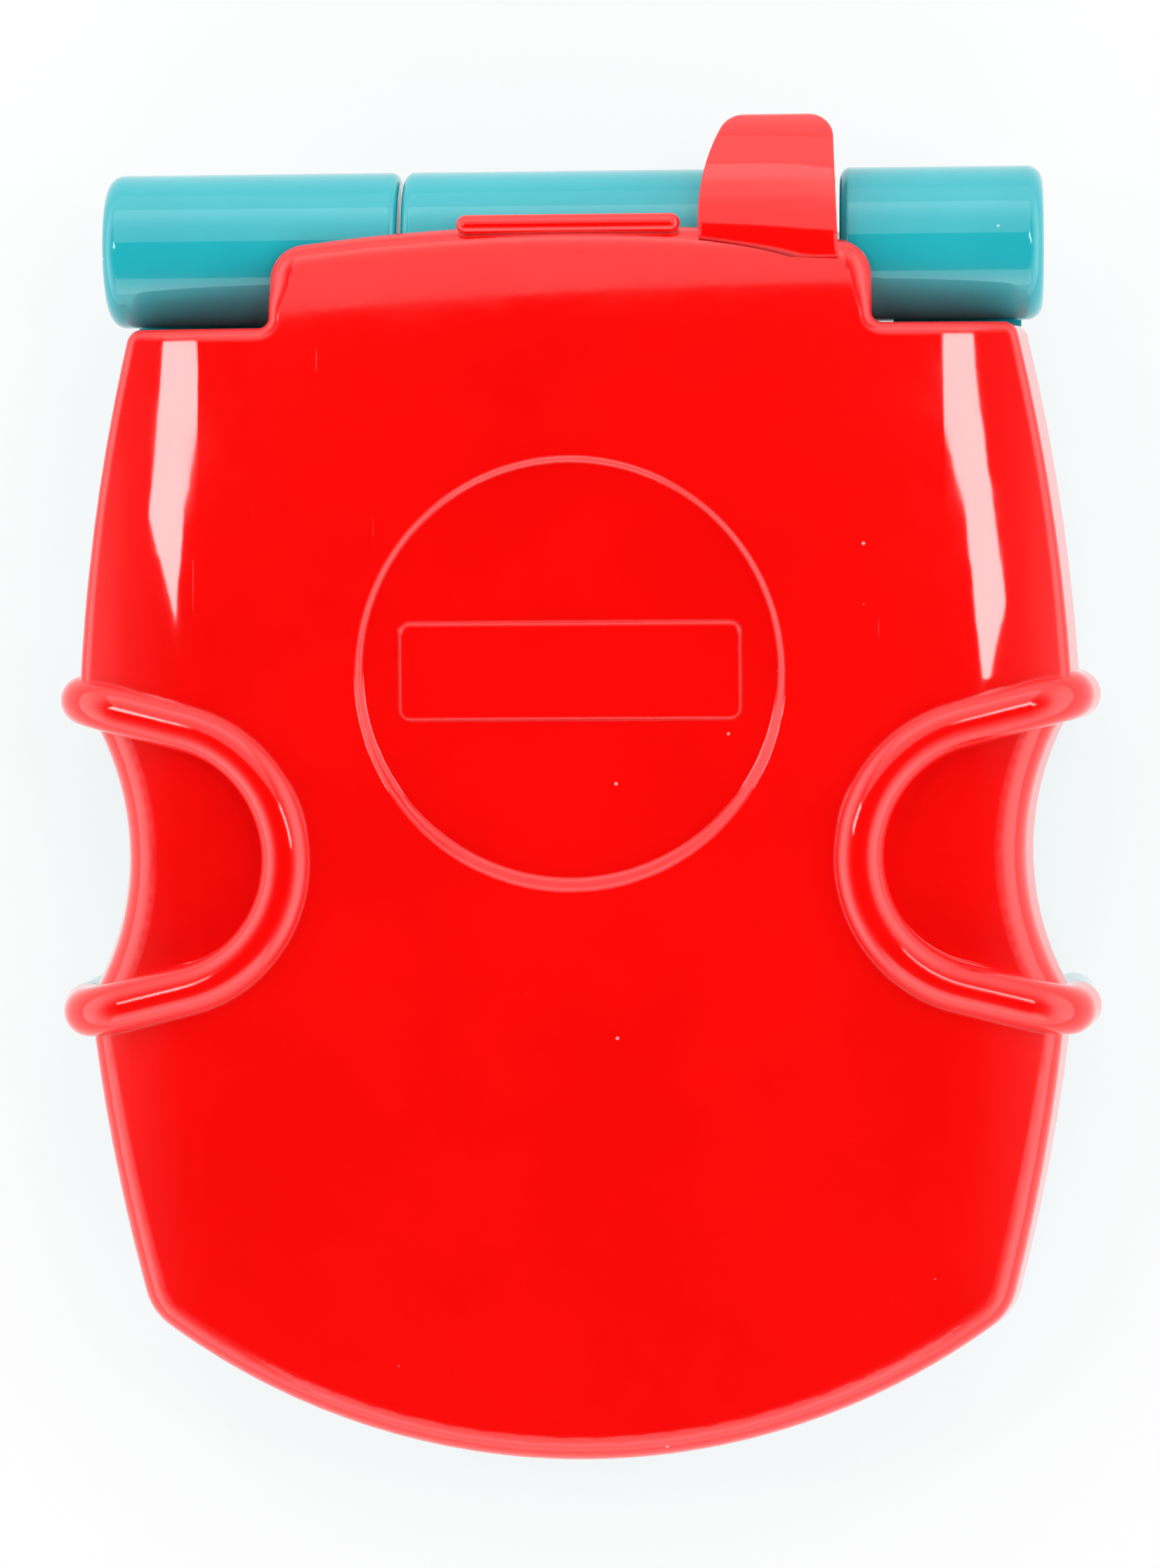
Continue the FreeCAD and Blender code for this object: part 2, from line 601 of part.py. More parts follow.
def dish_rims(shell):
    """The edges where the dish's sloping wall meets the lid's top and the dish's floor."""
    rims = []
    for edge in shell.Edges:
        if edge.Degenerated:
            continue
        faces = shell.ancestorsOfType(edge, Part.Face)
        walls = [face for face in faces if isinstance(face.Surface, Part.Cone)
                 and face.BoundBox.XLength < mm["half_width"]
                 and abs(face.Surface.Center.x) < NEAR]
        if len(faces) == 2 and len(walls) == 1:
            rims.append(edge)
    return rims


def bare_plate():
    """The plain plate in the dish, with soft corners and nothing on it."""
    top = dish_rim_height() - mm["dish_hollow"] + mm["plate_rise"]
    plate = rounded_block(0, mm["dish_row"], mm["plate_length"], mm["plate_width"],
                          top - mm["lid_roof"] / 2, top, mm["plate_corner"])
    return plate.makeFillet(mm["plate_rise"] / 2, edges_at(plate, top))


def ridge_bar():
    """The round bar along the hump's back lip."""
    radius, half = mm["bar_radius"], mm["bar_length"] / 2
    start = spot(-half, -mm["lip_reach"], lid_height(0, 0) - radius)
    bar = Part.makeCylinder(radius, 2 * half, start, RIGHT)
    for end in (start, start + RIGHT * 2 * half):
        bar = bar.fuse(Part.makeSphere(radius, end))
    return bar.cut(HINGE_BORE)


def lid_hollow():
    """The room inside the lid, clear of the grips, the dish and the hinge."""
    hollow = case_prism(mm["lid_wall"] + mm["lid_rise"] * DRAFT, mm["panel_low"], TALL)
    hollow = hollow.fuse(case_prism(mm["lid_wall"], mm["lid_low"] - PAST, mm["panel_top"]))
    hollow = hollow.common(crowned_slab(mm["lid_roof"]))
    hollow = hollow.cut(grip_zone(mm["grip_wall"]))
    pad_low = lid_height(0, mm["dish_row"]) - 2 * mm["lid_roof"] - mm["dish_hollow"]
    hollow = hollow.cut(upright(mm["dish_radius"] + mm["lid_wall"], 0, mm["dish_row"], pad_low, TALL))
    for x, distance in LID_BOSSES:
        hollow = hollow.cut(upright(mm["boss_radius"], x, distance, mm["panel_top"], TALL))
    for x, distance in LID_BOSSES:
        hole_top = mm["panel_top"] + mm["screw_bite"]
        hollow = hollow.fuse(upright(mm["hole_radius"], x, distance, mm["lid_low"], hole_top))
    return hollow


def lid_shell():
    """The red outer lid: one moulding with its hump, grips, dish, plate and ridge bar."""
    block = feature("lid_block", lid_block())
    rounded = round_edges("lid_rounded", block, lid_rim_radii)
    shell = scooped(rounded.Shape.cut(HINGE_BORE), lid_core())
    for bead in lid_beads():
        shell = shell.fuse(bead)
    shell = shell.cut(medallion_dish())
    shell = shell.makeFillet(mm["dish_soft"], dish_rims(shell))
    shell = shell.fuse(bare_plate()).fuse(ridge_bar())
    shell = shell.cut(lid_hollow())
    return feature("lid_shell", shell.Solids[0])


def thumb_tab(lid):
    """The red tab at the back: an arched tongue with a bowed left edge, seated on the hump's lip."""
    root_row, tip_row = mm["lip_reach"], -mm["tab_reach"]
    left_root, right_root = (spot(mm[name], root_row, 0) for name in ("tab_root_left", "tab_root_right"))
    left_tip, right_tip = (spot(mm[name], tip_row, 0) for name in ("tab_tip_left", "tab_tip_right"))
    bow = (left_root + left_tip) / 2 - RIGHT * mm["tab_bow"]
    plan = Part.Wire([Part.LineSegment(left_root, right_root).toShape(),
                      Part.LineSegment(right_root, right_tip).toShape(),
                      Part.LineSegment(right_tip, left_tip).toShape(),
                      Part.Arc(left_tip, bow, left_root).toShape()])
    tongue = Part.Face(plan).extrude(UP * TALL)
    tips = [edge for edge in upright_edges(tongue) if abs(middle_of(edge).y - row_y(tip_row)) < NEAR]
    tongue = tongue.makeFillet(mm["tab_corner"], tips)
    centre = spot(0, 0, mm["axis_height"] - mm["tab_centre_drop"])
    radius = lid_height(0, 0) - mm["tab_sink"] - centre.z
    arch = Part.makeCylinder(radius, mm["half_width"], centre, RIGHT)
    arch = arch.cut(Part.makeCylinder(radius - mm["tab_thick"], mm["half_width"], centre, RIGHT))
    upper = Part.makeBox(mm["half_width"], TALL, TALL, spot(0, root_row, centre.z))
    tongue = tongue.common(arch).common(upper).cut(lid).cut(HINGE_BORE)
    feature("thumb_tab", max(tongue.Solids, key=lambda solid: solid.Volume))


# Hinge barrels across the back

def bracket(left, right):
    """A block under an outer barrel that holds it to the tub's back wall."""
    depth = mm["case_back_row"] - mm["bracket_fit"]
    low = mm["bracket_top"] - mm["bracket_height"]
    return Part.makeBox(right - left, depth, mm["bracket_height"], spot(left, depth, low))


def barrel(left, right, domed):
    """A hollow barrel on the hinge axis, with webs that hold the pin and a soft outer end if domed."""
    outer, wall = mm["barrel_radius"], mm["barrel_wall"]
    drum = Part.makeCylinder(outer, right - left, spot(left, 0, mm["axis_height"]), RIGHT)
    outer_x = {-1: left, 1: right}.get(domed)
    for end_x in (left, right):
        rims = [edge for edge in drum.Edges if isinstance(edge.Curve, Part.Circle)
                and abs(edge.BoundBox.XMin - end_x) < NEAR and abs(edge.Curve.Radius - outer) < NEAR]
        drum = drum.makeFillet(mm["barrel_dome" if end_x == outer_x else "seam_round"], rims)
    if domed:
        inset = mm["bracket_inset"]
        near, far = mm["hump_half"] + inset, mm["barrel_half"] - inset
        drum = drum.fuse(bracket(*sorted((domed * near, domed * far))))
    room_left = left + (wall if domed == -1 else mm["web_thick"])
    room_right = right - (wall if domed == 1 else mm["web_thick"])
    room_at = spot(room_left, 0, mm["axis_height"])
    drum = drum.cut(Part.makeCylinder(outer - wall, room_right - room_left, room_at, RIGHT))
    if domed:
        seat = mm["pin_seat"]
        seat_at = spot(room_left if domed == -1 else room_right - seat, 0, mm["axis_height"])
        drum = drum.fuse(Part.makeCylinder(2 * mm["pin_radius"], seat, seat_at, RIGHT))
    return drum


def hinge_pieces():
    """Three barrels on one steel pin. The middle one turns with the lid, the outer ones stay."""
    gap = mm["seam_gap"] / 2
    bound("Part::Cylinder", "hinge_pin", ("-pin_half", "axis_y", "axis_height"), RIGHT,
          Radius="pin_radius", Height="2 * pin_half")
    bore = hinge_bar(mm["pin_radius"] + mm["pin_fit"], mm["pin_half"] + mm["pin_fit"])
    spans = {
        "left_hinge_barrel": (-mm["barrel_half"], -mm["left_seam"] - gap, -1),
        "middle_hinge_barrel": (-mm["left_seam"] + gap, mm["right_seam"] - gap, 0),
        "right_hinge_barrel": (mm["right_seam"] + gap, mm["barrel_half"], 1),
    }
    for name, span in spans.items():
        feature(name, barrel(*span).cut(bore))


# Base tub

def bay_block(grow, low, high):
    """The battery bay's plan, grown by a wall, between two heights."""
    length, width = mm["bay_length"] + 2 * grow, mm["bay_width"] + 2 * grow
    return Part.makeBox(length, width, high - low, spot(-length / 2, mm["cell_row"] + width / 2, low))


def door_block(grow, low, high):
    """The battery door's plan, with its screw ear on the right, grown by a clearance."""
    ear = mm["screw_head"] + mm["door_ledge"]
    plate = bay_block(mm["door_ledge"] + grow, low, high)
    tongue = upright(ear + grow, mm["door_screw_x"], mm["cell_row"], low, high)
    return plate.fuse(tongue).removeSplitter()


def base_room():
    """The room inside the tub, above its floor and clear of the grips."""
    room = case_prism(mm["base_wall"], mm["floor_top"], mm["base_top"] + PAST)
    return room.cut(grip_zone(mm["grip_wall"]))


def deck_ledge():
    """A ledge round the tub's inside that the keyboard deck rests on."""
    low, high = mm["deck_low"] - mm["ledge_thick"], mm["deck_low"]
    inside = case_prism(mm["base_wall"], low, high)
    ring = inside.cut(case_prism(mm["base_wall"] + mm["ledge_width"], low - PAST, high + PAST))
    grips = grip_zone(mm["grip_wall"] + mm["ledge_width"]).common(inside)
    return ring.fuse(grips).cut(grip_zone(mm["grip_wall"]))


def base_rim_radii(shape, edge):
    """Radii of the tub's lower rim."""
    if abs(middle_of(edge).z - mm["foot_rise"]) < NEAR and rim_edge(shape, edge):
        return (mm["base_round"], mm["base_round"])
    return None


def tub_holes():
    """Screw holes and foot seats in the tub."""
    hole = mm["hole_radius"]
    holes = []
    for x, distance in CASE_BOSSES:
        holes.append(upright(hole, x, distance, mm["deck_low"] - mm["screw_bite"], mm["deck_low"]))
    for x, distance in BOARD_POSTS:
        low = mm["board_height"] - mm["board_bite"]
        holes.append(upright(hole, x, distance, low, mm["board_height"]))
    ear_top = mm["floor_top"] + mm["screw_bite"]
    holes.append(upright(hole, mm["door_screw_x"], mm["cell_row"], 0, ear_top - PAST))
    for x, distance in FEET:
        holes.append(upright(mm["foot_radius"], x, distance, 0, mm["foot_rise"] + mm["foot_sink"]))
    return holes


def base_tub():
    """The teal base: one open tub with its grips, battery bay, posts and foot seats."""
    block = feature("base_block", case_prism(0, mm["foot_rise"], mm["base_top"]))
    rounded = round_edges("base_rounded", block, base_rim_radii)
    tub = scooped(rounded.Shape, rounded.Shape.common(grip_zone(0)).cut(scoop_notch(-PAST, 0)))
    for bead in base_beads():
        tub = tub.fuse(bead)
    tub = tub.cut(base_room()).fuse(deck_ledge())
    floor = mm["floor_top"]
    bay_top = mm["cell_height"] + mm["cell_radius"]
    tub = tub.fuse(bay_block(mm["bay_wall"], floor - PAST, bay_top))
    tub = tub.cut(bay_block(0, 0, bay_top + PAST))
    for x, distance in CASE_BOSSES:
        tub = tub.fuse(upright(mm["boss_radius"], x, distance, floor - PAST, mm["deck_low"]))
    for x, distance in BOARD_POSTS:
        tub = tub.fuse(upright(mm["post_radius"], x, distance, floor - PAST, mm["board_height"]))
    tub = tub.fuse(upright(mm["boss_radius"], mm["door_screw_x"], mm["cell_row"],
                           floor - PAST, floor + mm["screw_bite"]))
    tub = tub.cut(door_block(mm["door_fit"], 0, mm["door_top"]))
    for hole in tub_holes():
        tub = tub.cut(hole)
    feature("base_tub", tub.Solids[0])


# Keyboard deck and keys

KEY_COLUMNS = 4
KEY_ROWS = 2
KEYS = {}
for line in range(KEY_ROWS):
    for column in range(KEY_COLUMNS):
        key_x = (column - (KEY_COLUMNS - 1) / 2) * mm["key_pitch"]
        key_row = mm["key_first_row"] + line * mm["key_row_pitch"]
        KEYS[f"key_{line * KEY_COLUMNS + column + 1}"] = (key_x, key_row, mm["key_length"], mm["key_width"])
KEYS["bar_key"] = (0, mm["bar_key_row"], mm["bar_key_length"], mm["bar_key_width"])


def grille_holes(low, high):
    """Rings of round holes over the speaker."""
    at = (mm["speaker_x"], mm["speaker_row"])
    holes = [upright(mm["grille_hole"], *at, low, high)]
    for ring in (1, 2, 3):
        count = 6 * ring
        for number in range(count):
            angle = 2 * math.pi * number / count
            x = at[0] + ring * mm["grille_ring"] * math.cos(angle)
            distance = at[1] + ring * mm["grille_ring"] * math.sin(angle)
            holes.append(upright(mm["grille_hole"], x, distance, low, high))
    return holes


def slider_slot(low, high):
    """The slot that the power slider's stem moves in."""
    slot = mm["slider_stem"] + 2 * mm["slider_fit"]
    return rounded_block(mm["switch_x"], mm["switch_row"], mm["switch_travel"] + slot, slot,
                         low, high, mm["slider_fit"])


def keyboard_deck():
    """The teal deck that closes the base, with openings for the keys, switch, light and sound."""
    low, high = mm["deck_low"], mm["deck_top"]
    through = (low - PAST, high + PAST)
    deck = case_prism(mm["base_wall"] + mm["deck_fit"], low, high)
    deck = deck.cut(grip_zone(mm["grip_wall"] + mm["deck_fit"]))
    holes = grille_holes(*through)
    grow = 2 * mm["key_fit"]
    for x, distance, length, width in KEYS.values():
        holes.append(rounded_block(x, distance, length + grow, width + grow, *through,
                                   mm["key_round"] + mm["key_fit"]))
    holes.append(slider_slot(*through))
    holes.append(upright(mm["light_radius"] + mm["light_fit"], mm["light_x"], mm["light_row"], *through))
    for x, distance in CASE_BOSSES:
        holes.append(upright(mm["hole_radius"], x, distance, *through))
        holes.append(upright(mm["head_room"], x, distance, high - mm["screw_sink"], high + PAST))
    for hole in holes:
        deck = deck.cut(hole)
    feature("keyboard_deck", deck.Solids[0])


def key_caps():
    """The keys: soft-edged caps, each on a flange under the deck and a stem over its rubber dome."""
    top = mm["deck_top"] + mm["key_rise"]
    flange_top = mm["deck_low"] - mm["key_play"]
    flange_low = flange_top - mm["key_flange_thick"]
    stem_low = mm["sheet_top"] + mm["dome_rise"] + mm["key_play"]
    grow = 2 * (mm["key_fit"] + mm["key_flange"])
    for name, (x, distance, length, width) in KEYS.items():
        cap = rounded_block(x, distance, length, width, flange_low, top, mm["key_round"])
        cap = cap.makeFillet(mm["key_top_round"], edges_at(cap, top))
        flange = rounded_block(x, distance, length + grow, width + grow, flange_low, flange_top,
                               mm["key_round"])
        stem = upright(mm["key_stem"], x, distance, stem_low, flange_top)
        feature(name, cap.fuse(flange).fuse(stem).removeSplitter())


# Electronics

def machine_screw(x, distance, seat, bite, heading):
    """A pan-head screw with a cross drive: its head on a height, its shank running the other way."""
    at = spot(x, distance, seat)
    upward = UP * heading
    head = Part.makeCylinder(mm["screw_head"], mm["screw_rise"], at, upward)
    shank = Part.makeCylinder(mm["screw_radius"], bite - mm["screw_tip_gap"], at, -upward)
    long, short, deep = mm["drive_length"], mm["drive_width"], mm["drive_depth"]
    face = at.z + heading * mm["screw_rise"]
    low = min(face, face - heading * deep)
    for length, width in ((long, short), (short, long)):
        corner = spot(x - length / 2, distance + width / 2, low)
        head = head.cut(Part.makeBox(length, width, deep, corner))
    return head.fuse(shank)


def screw_set(name, places, seat, bite, heading):
    """Alike screws that share one node."""
    feature(name, Part.makeCompound([machine_screw(*at, seat, bite, heading) for at in places]))


def board_pieces():
    """The circuit board on its posts, its chip, and the rubber sheet with a dome under each key."""
    board = bound("Part::Box", "board_blank",
                  ("-board_length / 2", "axis_y - board_row - board_width / 2", "board_height"),
                  Length="board_length", Width="board_width", Height="board_thick")
    holes = []
    for x in ("-post_x", "post_x"):
        for distance in ("post_back_row", "post_front_row"):
            at = (x, "axis_y - " + distance, "board_height - cut_past")
            holes.append(bound("Part::Cylinder", "board_hole", at, Radius="hole_radius",
                               Height="board_thick + 2 * cut_past"))
    cut("circuit_board", board, holes)
    screw_set("board_screws", BOARD_POSTS, mm["board_top"], mm["board_bite"], 1)
    rows = [distance for _, distance, _, _ in KEYS.values()]
    columns = [x for x, _, _, _ in KEYS.values()]
    margin = 2 * mm["sheet_margin"]
    rubber = rounded_block(0, (min(rows) + max(rows)) / 2, max(columns) - min(columns) + margin,
                           max(rows) - min(rows) + margin, mm["board_top"], mm["sheet_top"],
                           mm["key_round"])
    for x, distance, _, _ in KEYS.values():
        foot = spot(x, distance, mm["board_top"])
        rise = mm["sheet_thick"] + mm["dome_rise"]
        rubber = rubber.fuse(Part.makeCone(mm["dome_radius"], mm["dome_top"], rise, foot))
    feature("key_membrane", rubber.removeSplitter())
    bound("Part::Cone", "sound_chip", ("0", "axis_y - chip_row", "board_top"),
          Radius1="chip_radius", Radius2="chip_top", Height="chip_rise")


def speaker_pieces():
    """A small loudspeaker hung under the deck's grille: frame, paper cone and magnet."""
    at = (mm["speaker_x"], mm["speaker_row"])
    top, low, depth = mm["speaker_top"], mm["speaker_low"], mm["speaker_depth"]
    rim_radius = mm["speaker_radius"] - mm["speaker_rim"]
    inner_low, inner_top = mm["magnet_radius"] - mm["basket_wall"], rim_radius - mm["basket_lip"]
    basket = Part.makeCone(mm["magnet_radius"], rim_radius, depth, spot(*at, low))
    rim = upright(mm["speaker_radius"], *at, top - mm["rim_thick"], top)
    opening = Part.makeCone(inner_low, inner_top, depth, spot(*at, low))
    feature("speaker_frame", basket.fuse(rim).cut(opening).removeSplitter())
    cup_depth = depth - mm["cone_drop"]
    cup_low, cup_top = inner_low - mm["cone_gap"], inner_top - mm["cone_rim_gap"]
    cup = Part.makeCone(cup_low, cup_top, cup_depth, spot(*at, low))
    hollow = Part.makeCone(cup_low - mm["cone_wall"], cup_top - mm["cone_wall"], cup_depth,
                           spot(*at, low + mm["cone_floor"]))
    cap = Part.makeSphere(mm["dust_cap"], spot(*at, low))
    cap = cap.common(upright(mm["speaker_radius"], *at, low, top))
    feature("speaker_cone", cup.cut(hollow).fuse(cap).removeSplitter())
    bound("Part::Cylinder", "speaker_magnet",
          ("speaker_x", "axis_y - speaker_row", "speaker_low - magnet_depth"),
          Radius="magnet_radius", Height="magnet_depth")


def switch_pieces():
    """The power switch: a boxed switch under the deck and a slider whose knob shows above it."""
    at = (mm["switch_x"], mm["switch_row"])
    top = mm["speaker_top"]
    low = top - mm["switch_depth"]
    body = rounded_block(*at, mm["switch_length"], mm["switch_width"], low, top, mm["switch_corner"])
    track_low = (low + top) / 2
    feature("power_switch", body.cut(slider_slot(track_low, top + PAST)))
    rest = (at[0] - mm["switch_travel"] / 2, at[1])
    knob_low = mm["deck_top"] + mm["slider_fit"]
    knob_top = knob_low + mm["knob_rise"]
    knob = rounded_block(*rest, mm["knob_length"], mm["knob_width"], knob_low, knob_top, mm["knob_corner"])
    knob = knob.makeFillet(mm["knob_round"], edges_at(knob, knob_top))
    post = rounded_block(*rest, mm["slider_stem"], mm["slider_stem"], track_low + mm["slider_fit"],
                         knob_low + PAST, mm["slider_fit"])
    feature("power_slider", knob.fuse(post).removeSplitter())


def status_light():
    """A round light whose dome shows in the deck and whose flange sits under it."""
    low = mm["deck_low"]
    at = (mm["light_x"], mm["light_row"])
    body = upright(mm["light_radius"], *at, low - mm["light_depth"], mm["deck_top"])
    flange = upright(mm["light_radius"] + mm["light_flange"], *at, low - mm["light_depth"],
                     low - mm["light_fit"])
    dome = Part.makeSphere(mm["light_radius"], spot(*at, mm["deck_top"]))
    feature("status_light", body.fuse(flange).fuse(dome).removeSplitter())


# Batteries

def battery_cell(distance, side):
    """One cell across the base, its nub to one side, and the spring behind its flat end."""
    seat = mm["cell_height"]
    heading = RIGHT * side
    plate_x = mm["bay_length"] / 2 - mm["contact_thick"]
    can_end = spot(side * plate_x, distance, seat) - heading * mm["cell_nub"]
    flat_end = can_end - heading * mm["cell_length"]
    can = Part.makeCylinder(mm["cell_radius"], mm["cell_length"], flat_end, heading)
    rims = [edge for edge in can.Edges if isinstance(edge.Curve, Part.Circle)]
    can = can.makeFillet(mm["cell_round"], rims)
    nub = Part.makeCylinder(mm["cell_nub_radius"], mm["cell_nub"], can_end, heading)
    foot = spot(-side * plate_x, distance, seat)
    length = (flat_end - foot).Length
    wide, narrow, wall = mm["spring_foot"], mm["cell_nub_radius"], mm["spring_wall"]
    spring = Part.makeCone(wide, narrow, length, foot, heading)
    spring = spring.cut(Part.makeCone(wide - wall, narrow - wall, length, foot, heading))
    return can.fuse(nub), spring


def battery_pieces():
    """Two cells lying across the base with their springs, contact plates and door."""
    cells, springs, plates = [], [], []
    for side in SIDES:
        distance = mm["cell_row"] + side * mm["cell_pitch"] / 2
        cell, spring = battery_cell(distance, side)
        cells.append(cell)
        springs.append(spring)
        for end in SIDES:
            thick, tall = mm["contact_thick"], mm["contact_side"]
            x = end * (mm["bay_length"] - thick) / 2 - thick / 2
            corner = spot(x, distance + tall / 2, mm["cell_height"] - tall / 2)
            plates.append(Part.makeBox(thick, tall, tall, corner))
    feature("batteries", Part.makeCompound(cells))
    feature("battery_springs", Part.makeCompound(springs))
    feature("battery_contacts", Part.makeCompound(plates))
    at = (mm["door_screw_x"], mm["cell_row"])
    seat = mm["foot_rise"] + mm["screw_sink"]
    door = door_block(0, mm["foot_rise"], mm["door_top"])
    door = door.cut(upright(mm["hole_radius"], *at, 0, mm["door_top"] + PAST))
    feature("battery_door", door.cut(upright(mm["head_room"], *at, 0, seat)))
    screw_set("door_screw", [at], seat, mm["screw_bite"], -1)


def feet_and_screws():
    """Rubber feet under the base, and the screws that hold the deck and the lid's panel."""
    feet = []
    for at in FEET:
        foot = upright(mm["foot_radius"], *at, 0, mm["foot_rise"] + mm["foot_sink"])
        feet.append(foot.makeFillet(mm["foot_round"], edges_at(foot, 0)))
    feature("rubber_feet", Part.makeCompound(feet))
    screw_set("deck_screws", CASE_BOSSES, mm["deck_top"] - mm["screw_sink"], mm["screw_bite"], 1)
    screw_set("lid_screws", LID_BOSSES, mm["panel_low"] + mm["screw_sink"], mm["screw_bite"], -1)


# Lid inside

def window_block(grow, low, high):
    """The screen window's plan, grown by a margin, between two heights."""
    return rounded_block(0, mm["window_row"], mm["window_length"] + 2 * grow,
                         mm["window_width"] + 2 * grow, low, high, mm["window_corner"])


def lid_panel_pieces():
    """The panel that closes the lid, with the screen's clear lens and the picture card behind it."""
    low, high = mm["panel_low"], mm["panel_top"]
    panel = case_prism(mm["lid_wall"] + mm["panel_fit"], low, high)
    panel = panel.cut(grip_zone(mm["grip_wall"] + mm["panel_fit"]))
    panel = panel.cut(window_block(0, low - PAST, high + PAST))
    for x, distance in LID_BOSSES:
        panel = panel.cut(upright(mm["hole_radius"], x, distance, low - PAST, high + PAST))
        panel = panel.cut(upright(mm["head_room"], x, distance, low - PAST, low + mm["screw_sink"]))
    feature("lid_panel", panel.Solids[0])
    feature("screen_lens", window_block(-mm["lens_fit"], high - mm["lens_thick"], high))
    feature("picture_card", window_block(mm["card_margin"], high, high + mm["card_thick"]))
    bumpers = [upright(mm["bumper_radius"], *at, low - mm["bumper_rise"], low)
               for at in both_sides("bumper_x", "bumper_row")]
    feature("lid_bumpers", Part.makeCompound(bumpers))


lid = lid_shell()
thumb_tab(lid.Shape)
lid_panel_pieces()
hinge_pieces()
base_tub()
keyboard_deck()
key_caps()
board_pieces()
speaker_pieces()
switch_pieces()
status_light()
battery_pieces()
feet_and_screws()
doc.recompute()

NODES = [
    "lid_shell", "thumb_tab", "lid_panel", "screen_lens", "picture_card", "lid_bumpers", "lid_screws",
    "middle_hinge_barrel", "left_hinge_barrel", "right_hinge_barrel", "hinge_pin", "base_tub",
    "keyboard_deck", *KEYS, "circuit_board", "board_screws", "key_membrane", "sound_chip",
    "speaker_frame", "speaker_cone", "speaker_magnet", "power_switch", "power_slider", "status_light",
    "batteries", "battery_springs", "battery_contacts", "battery_door", "door_screw", "rubber_feet",
    "deck_screws",
]
failed = [thing.Name for thing in doc.Objects if set(thing.State) & {"Invalid", "Error"}]
for node in NODES:
    shape = doc.getObject(node).Shape
    if shape.isNull() or not shape.isValid():
        failed.append(node)
if failed:
    raise RuntimeError("Failed pieces: " + ", ".join(failed))
os.makedirs("parts", exist_ok=True)
for node in NODES:
    doc.getObject(node).Shape.exportStep(f"parts/{node}.step")
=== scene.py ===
"""Looks of the toy laptop: a finish for every CAD node, small raised details, a studio and the camera.

Metres, in the CAD's own frame: +X right, +Y towards the hinge, +Z up. MM turns millimetres into metres.
"""

import json
import math

import bmesh
import bpy
from mathutils import Matrix, Vector


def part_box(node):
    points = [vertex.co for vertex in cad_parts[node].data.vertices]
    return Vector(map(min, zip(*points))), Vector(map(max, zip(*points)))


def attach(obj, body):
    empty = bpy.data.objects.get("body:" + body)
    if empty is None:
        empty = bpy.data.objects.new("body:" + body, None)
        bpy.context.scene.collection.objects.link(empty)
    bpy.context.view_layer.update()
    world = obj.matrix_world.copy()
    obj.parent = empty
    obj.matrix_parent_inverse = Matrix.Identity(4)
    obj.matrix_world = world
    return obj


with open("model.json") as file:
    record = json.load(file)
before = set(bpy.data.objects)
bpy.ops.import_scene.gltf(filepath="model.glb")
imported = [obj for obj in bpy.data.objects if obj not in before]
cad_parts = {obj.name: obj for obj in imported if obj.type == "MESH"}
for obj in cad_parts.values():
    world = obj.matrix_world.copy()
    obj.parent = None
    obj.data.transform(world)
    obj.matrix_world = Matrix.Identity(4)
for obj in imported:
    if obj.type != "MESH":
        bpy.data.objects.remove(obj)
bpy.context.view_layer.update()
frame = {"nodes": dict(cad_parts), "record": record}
nodes = frame["nodes"]
subparts = frame["record"]["subparts"]

MM = 0.001
UP = Vector((0, 0, 1))


# Node trees

def add(tree, kind, links=None, **settings):
    """A shader node with its settings, and its inputs either linked from a socket or set to a value."""
    node = tree.nodes.new(kind)
    for key, value in settings.items():
        setattr(node, key, value)
    for key, value in (links or {}).items():
        if isinstance(value, bpy.types.NodeSocket):
            tree.links.new(value, node.inputs[key])
        else:
            node.inputs[key].default_value = value
    return node


def noise(tree, where, scale, detail=3.0, roughness=0.55):
    """Soft noise of a number of features per metre."""
    links = {"Vector": where, "Scale": scale, "Detail": detail, "Roughness": roughness}
    return add(tree, "ShaderNodeTexNoise", links).outputs["Fac"]


def cell_pattern(tree, where, scale, randomness):
    """Cells of a number per metre: how far the nearest cell's point is, and each cell's own colour."""
    links = {"Vector": where, "Scale": scale, "Randomness": randomness}
    return add(tree, "ShaderNodeTexVoronoi", links).outputs


def between(tree, value, low, high, to_low=0.0, to_high=1.0):
    """A value's stretch from low to high, eased to another stretch."""
    links = {"Value": value, "From Min": low, "From Max": high, "To Min": to_low, "To Max": to_high}
    return add(tree, "ShaderNodeMapRange", links, interpolation_type="SMOOTHSTEP").outputs["Result"]


def between_linear(tree, value, low, high, to_low, to_high):
    """A value's stretch from low to high, carried straight to another stretch."""
    links = {"Value": value, "From Min": low, "From Max": high, "To Min": to_low, "To Max": to_high}
    return add(tree, "ShaderNodeMapRange", links, clamp=False).outputs["Result"]


def calc(tree, operation, first, second=0.0):
    """One sum on two values."""
    return add(tree, "ShaderNodeMath", {0: first, 1: second}, operation=operation).outputs["Value"]


def blend(tree, factor, first, second):
    """Two colours mixed by a factor."""
    node = add(tree, "ShaderNodeMix", {"Factor": factor}, data_type="RGBA")
    for socket, value in ((node.inputs[6], first), (node.inputs[7], second)):
        if isinstance(value, bpy.types.NodeSocket):
            tree.links.new(value, socket)
        else:
            socket.default_value = (*value, 1.0)
    return node.outputs[2]


def stretched(tree, where, scale, turn=0.0):
    """Coordinates scaled per axis, after a turn about Z."""
    links = {"Vector": where, "Scale": scale, "Rotation": (0.0, 0.0, turn)}
    return add(tree, "ShaderNodeMapping", links).outputs["Vector"]


def axes(tree, vector):
    """A vector's X, Y and Z."""
    return add(tree, "ShaderNodeSeparateXYZ", {"Vector": vector}).outputs


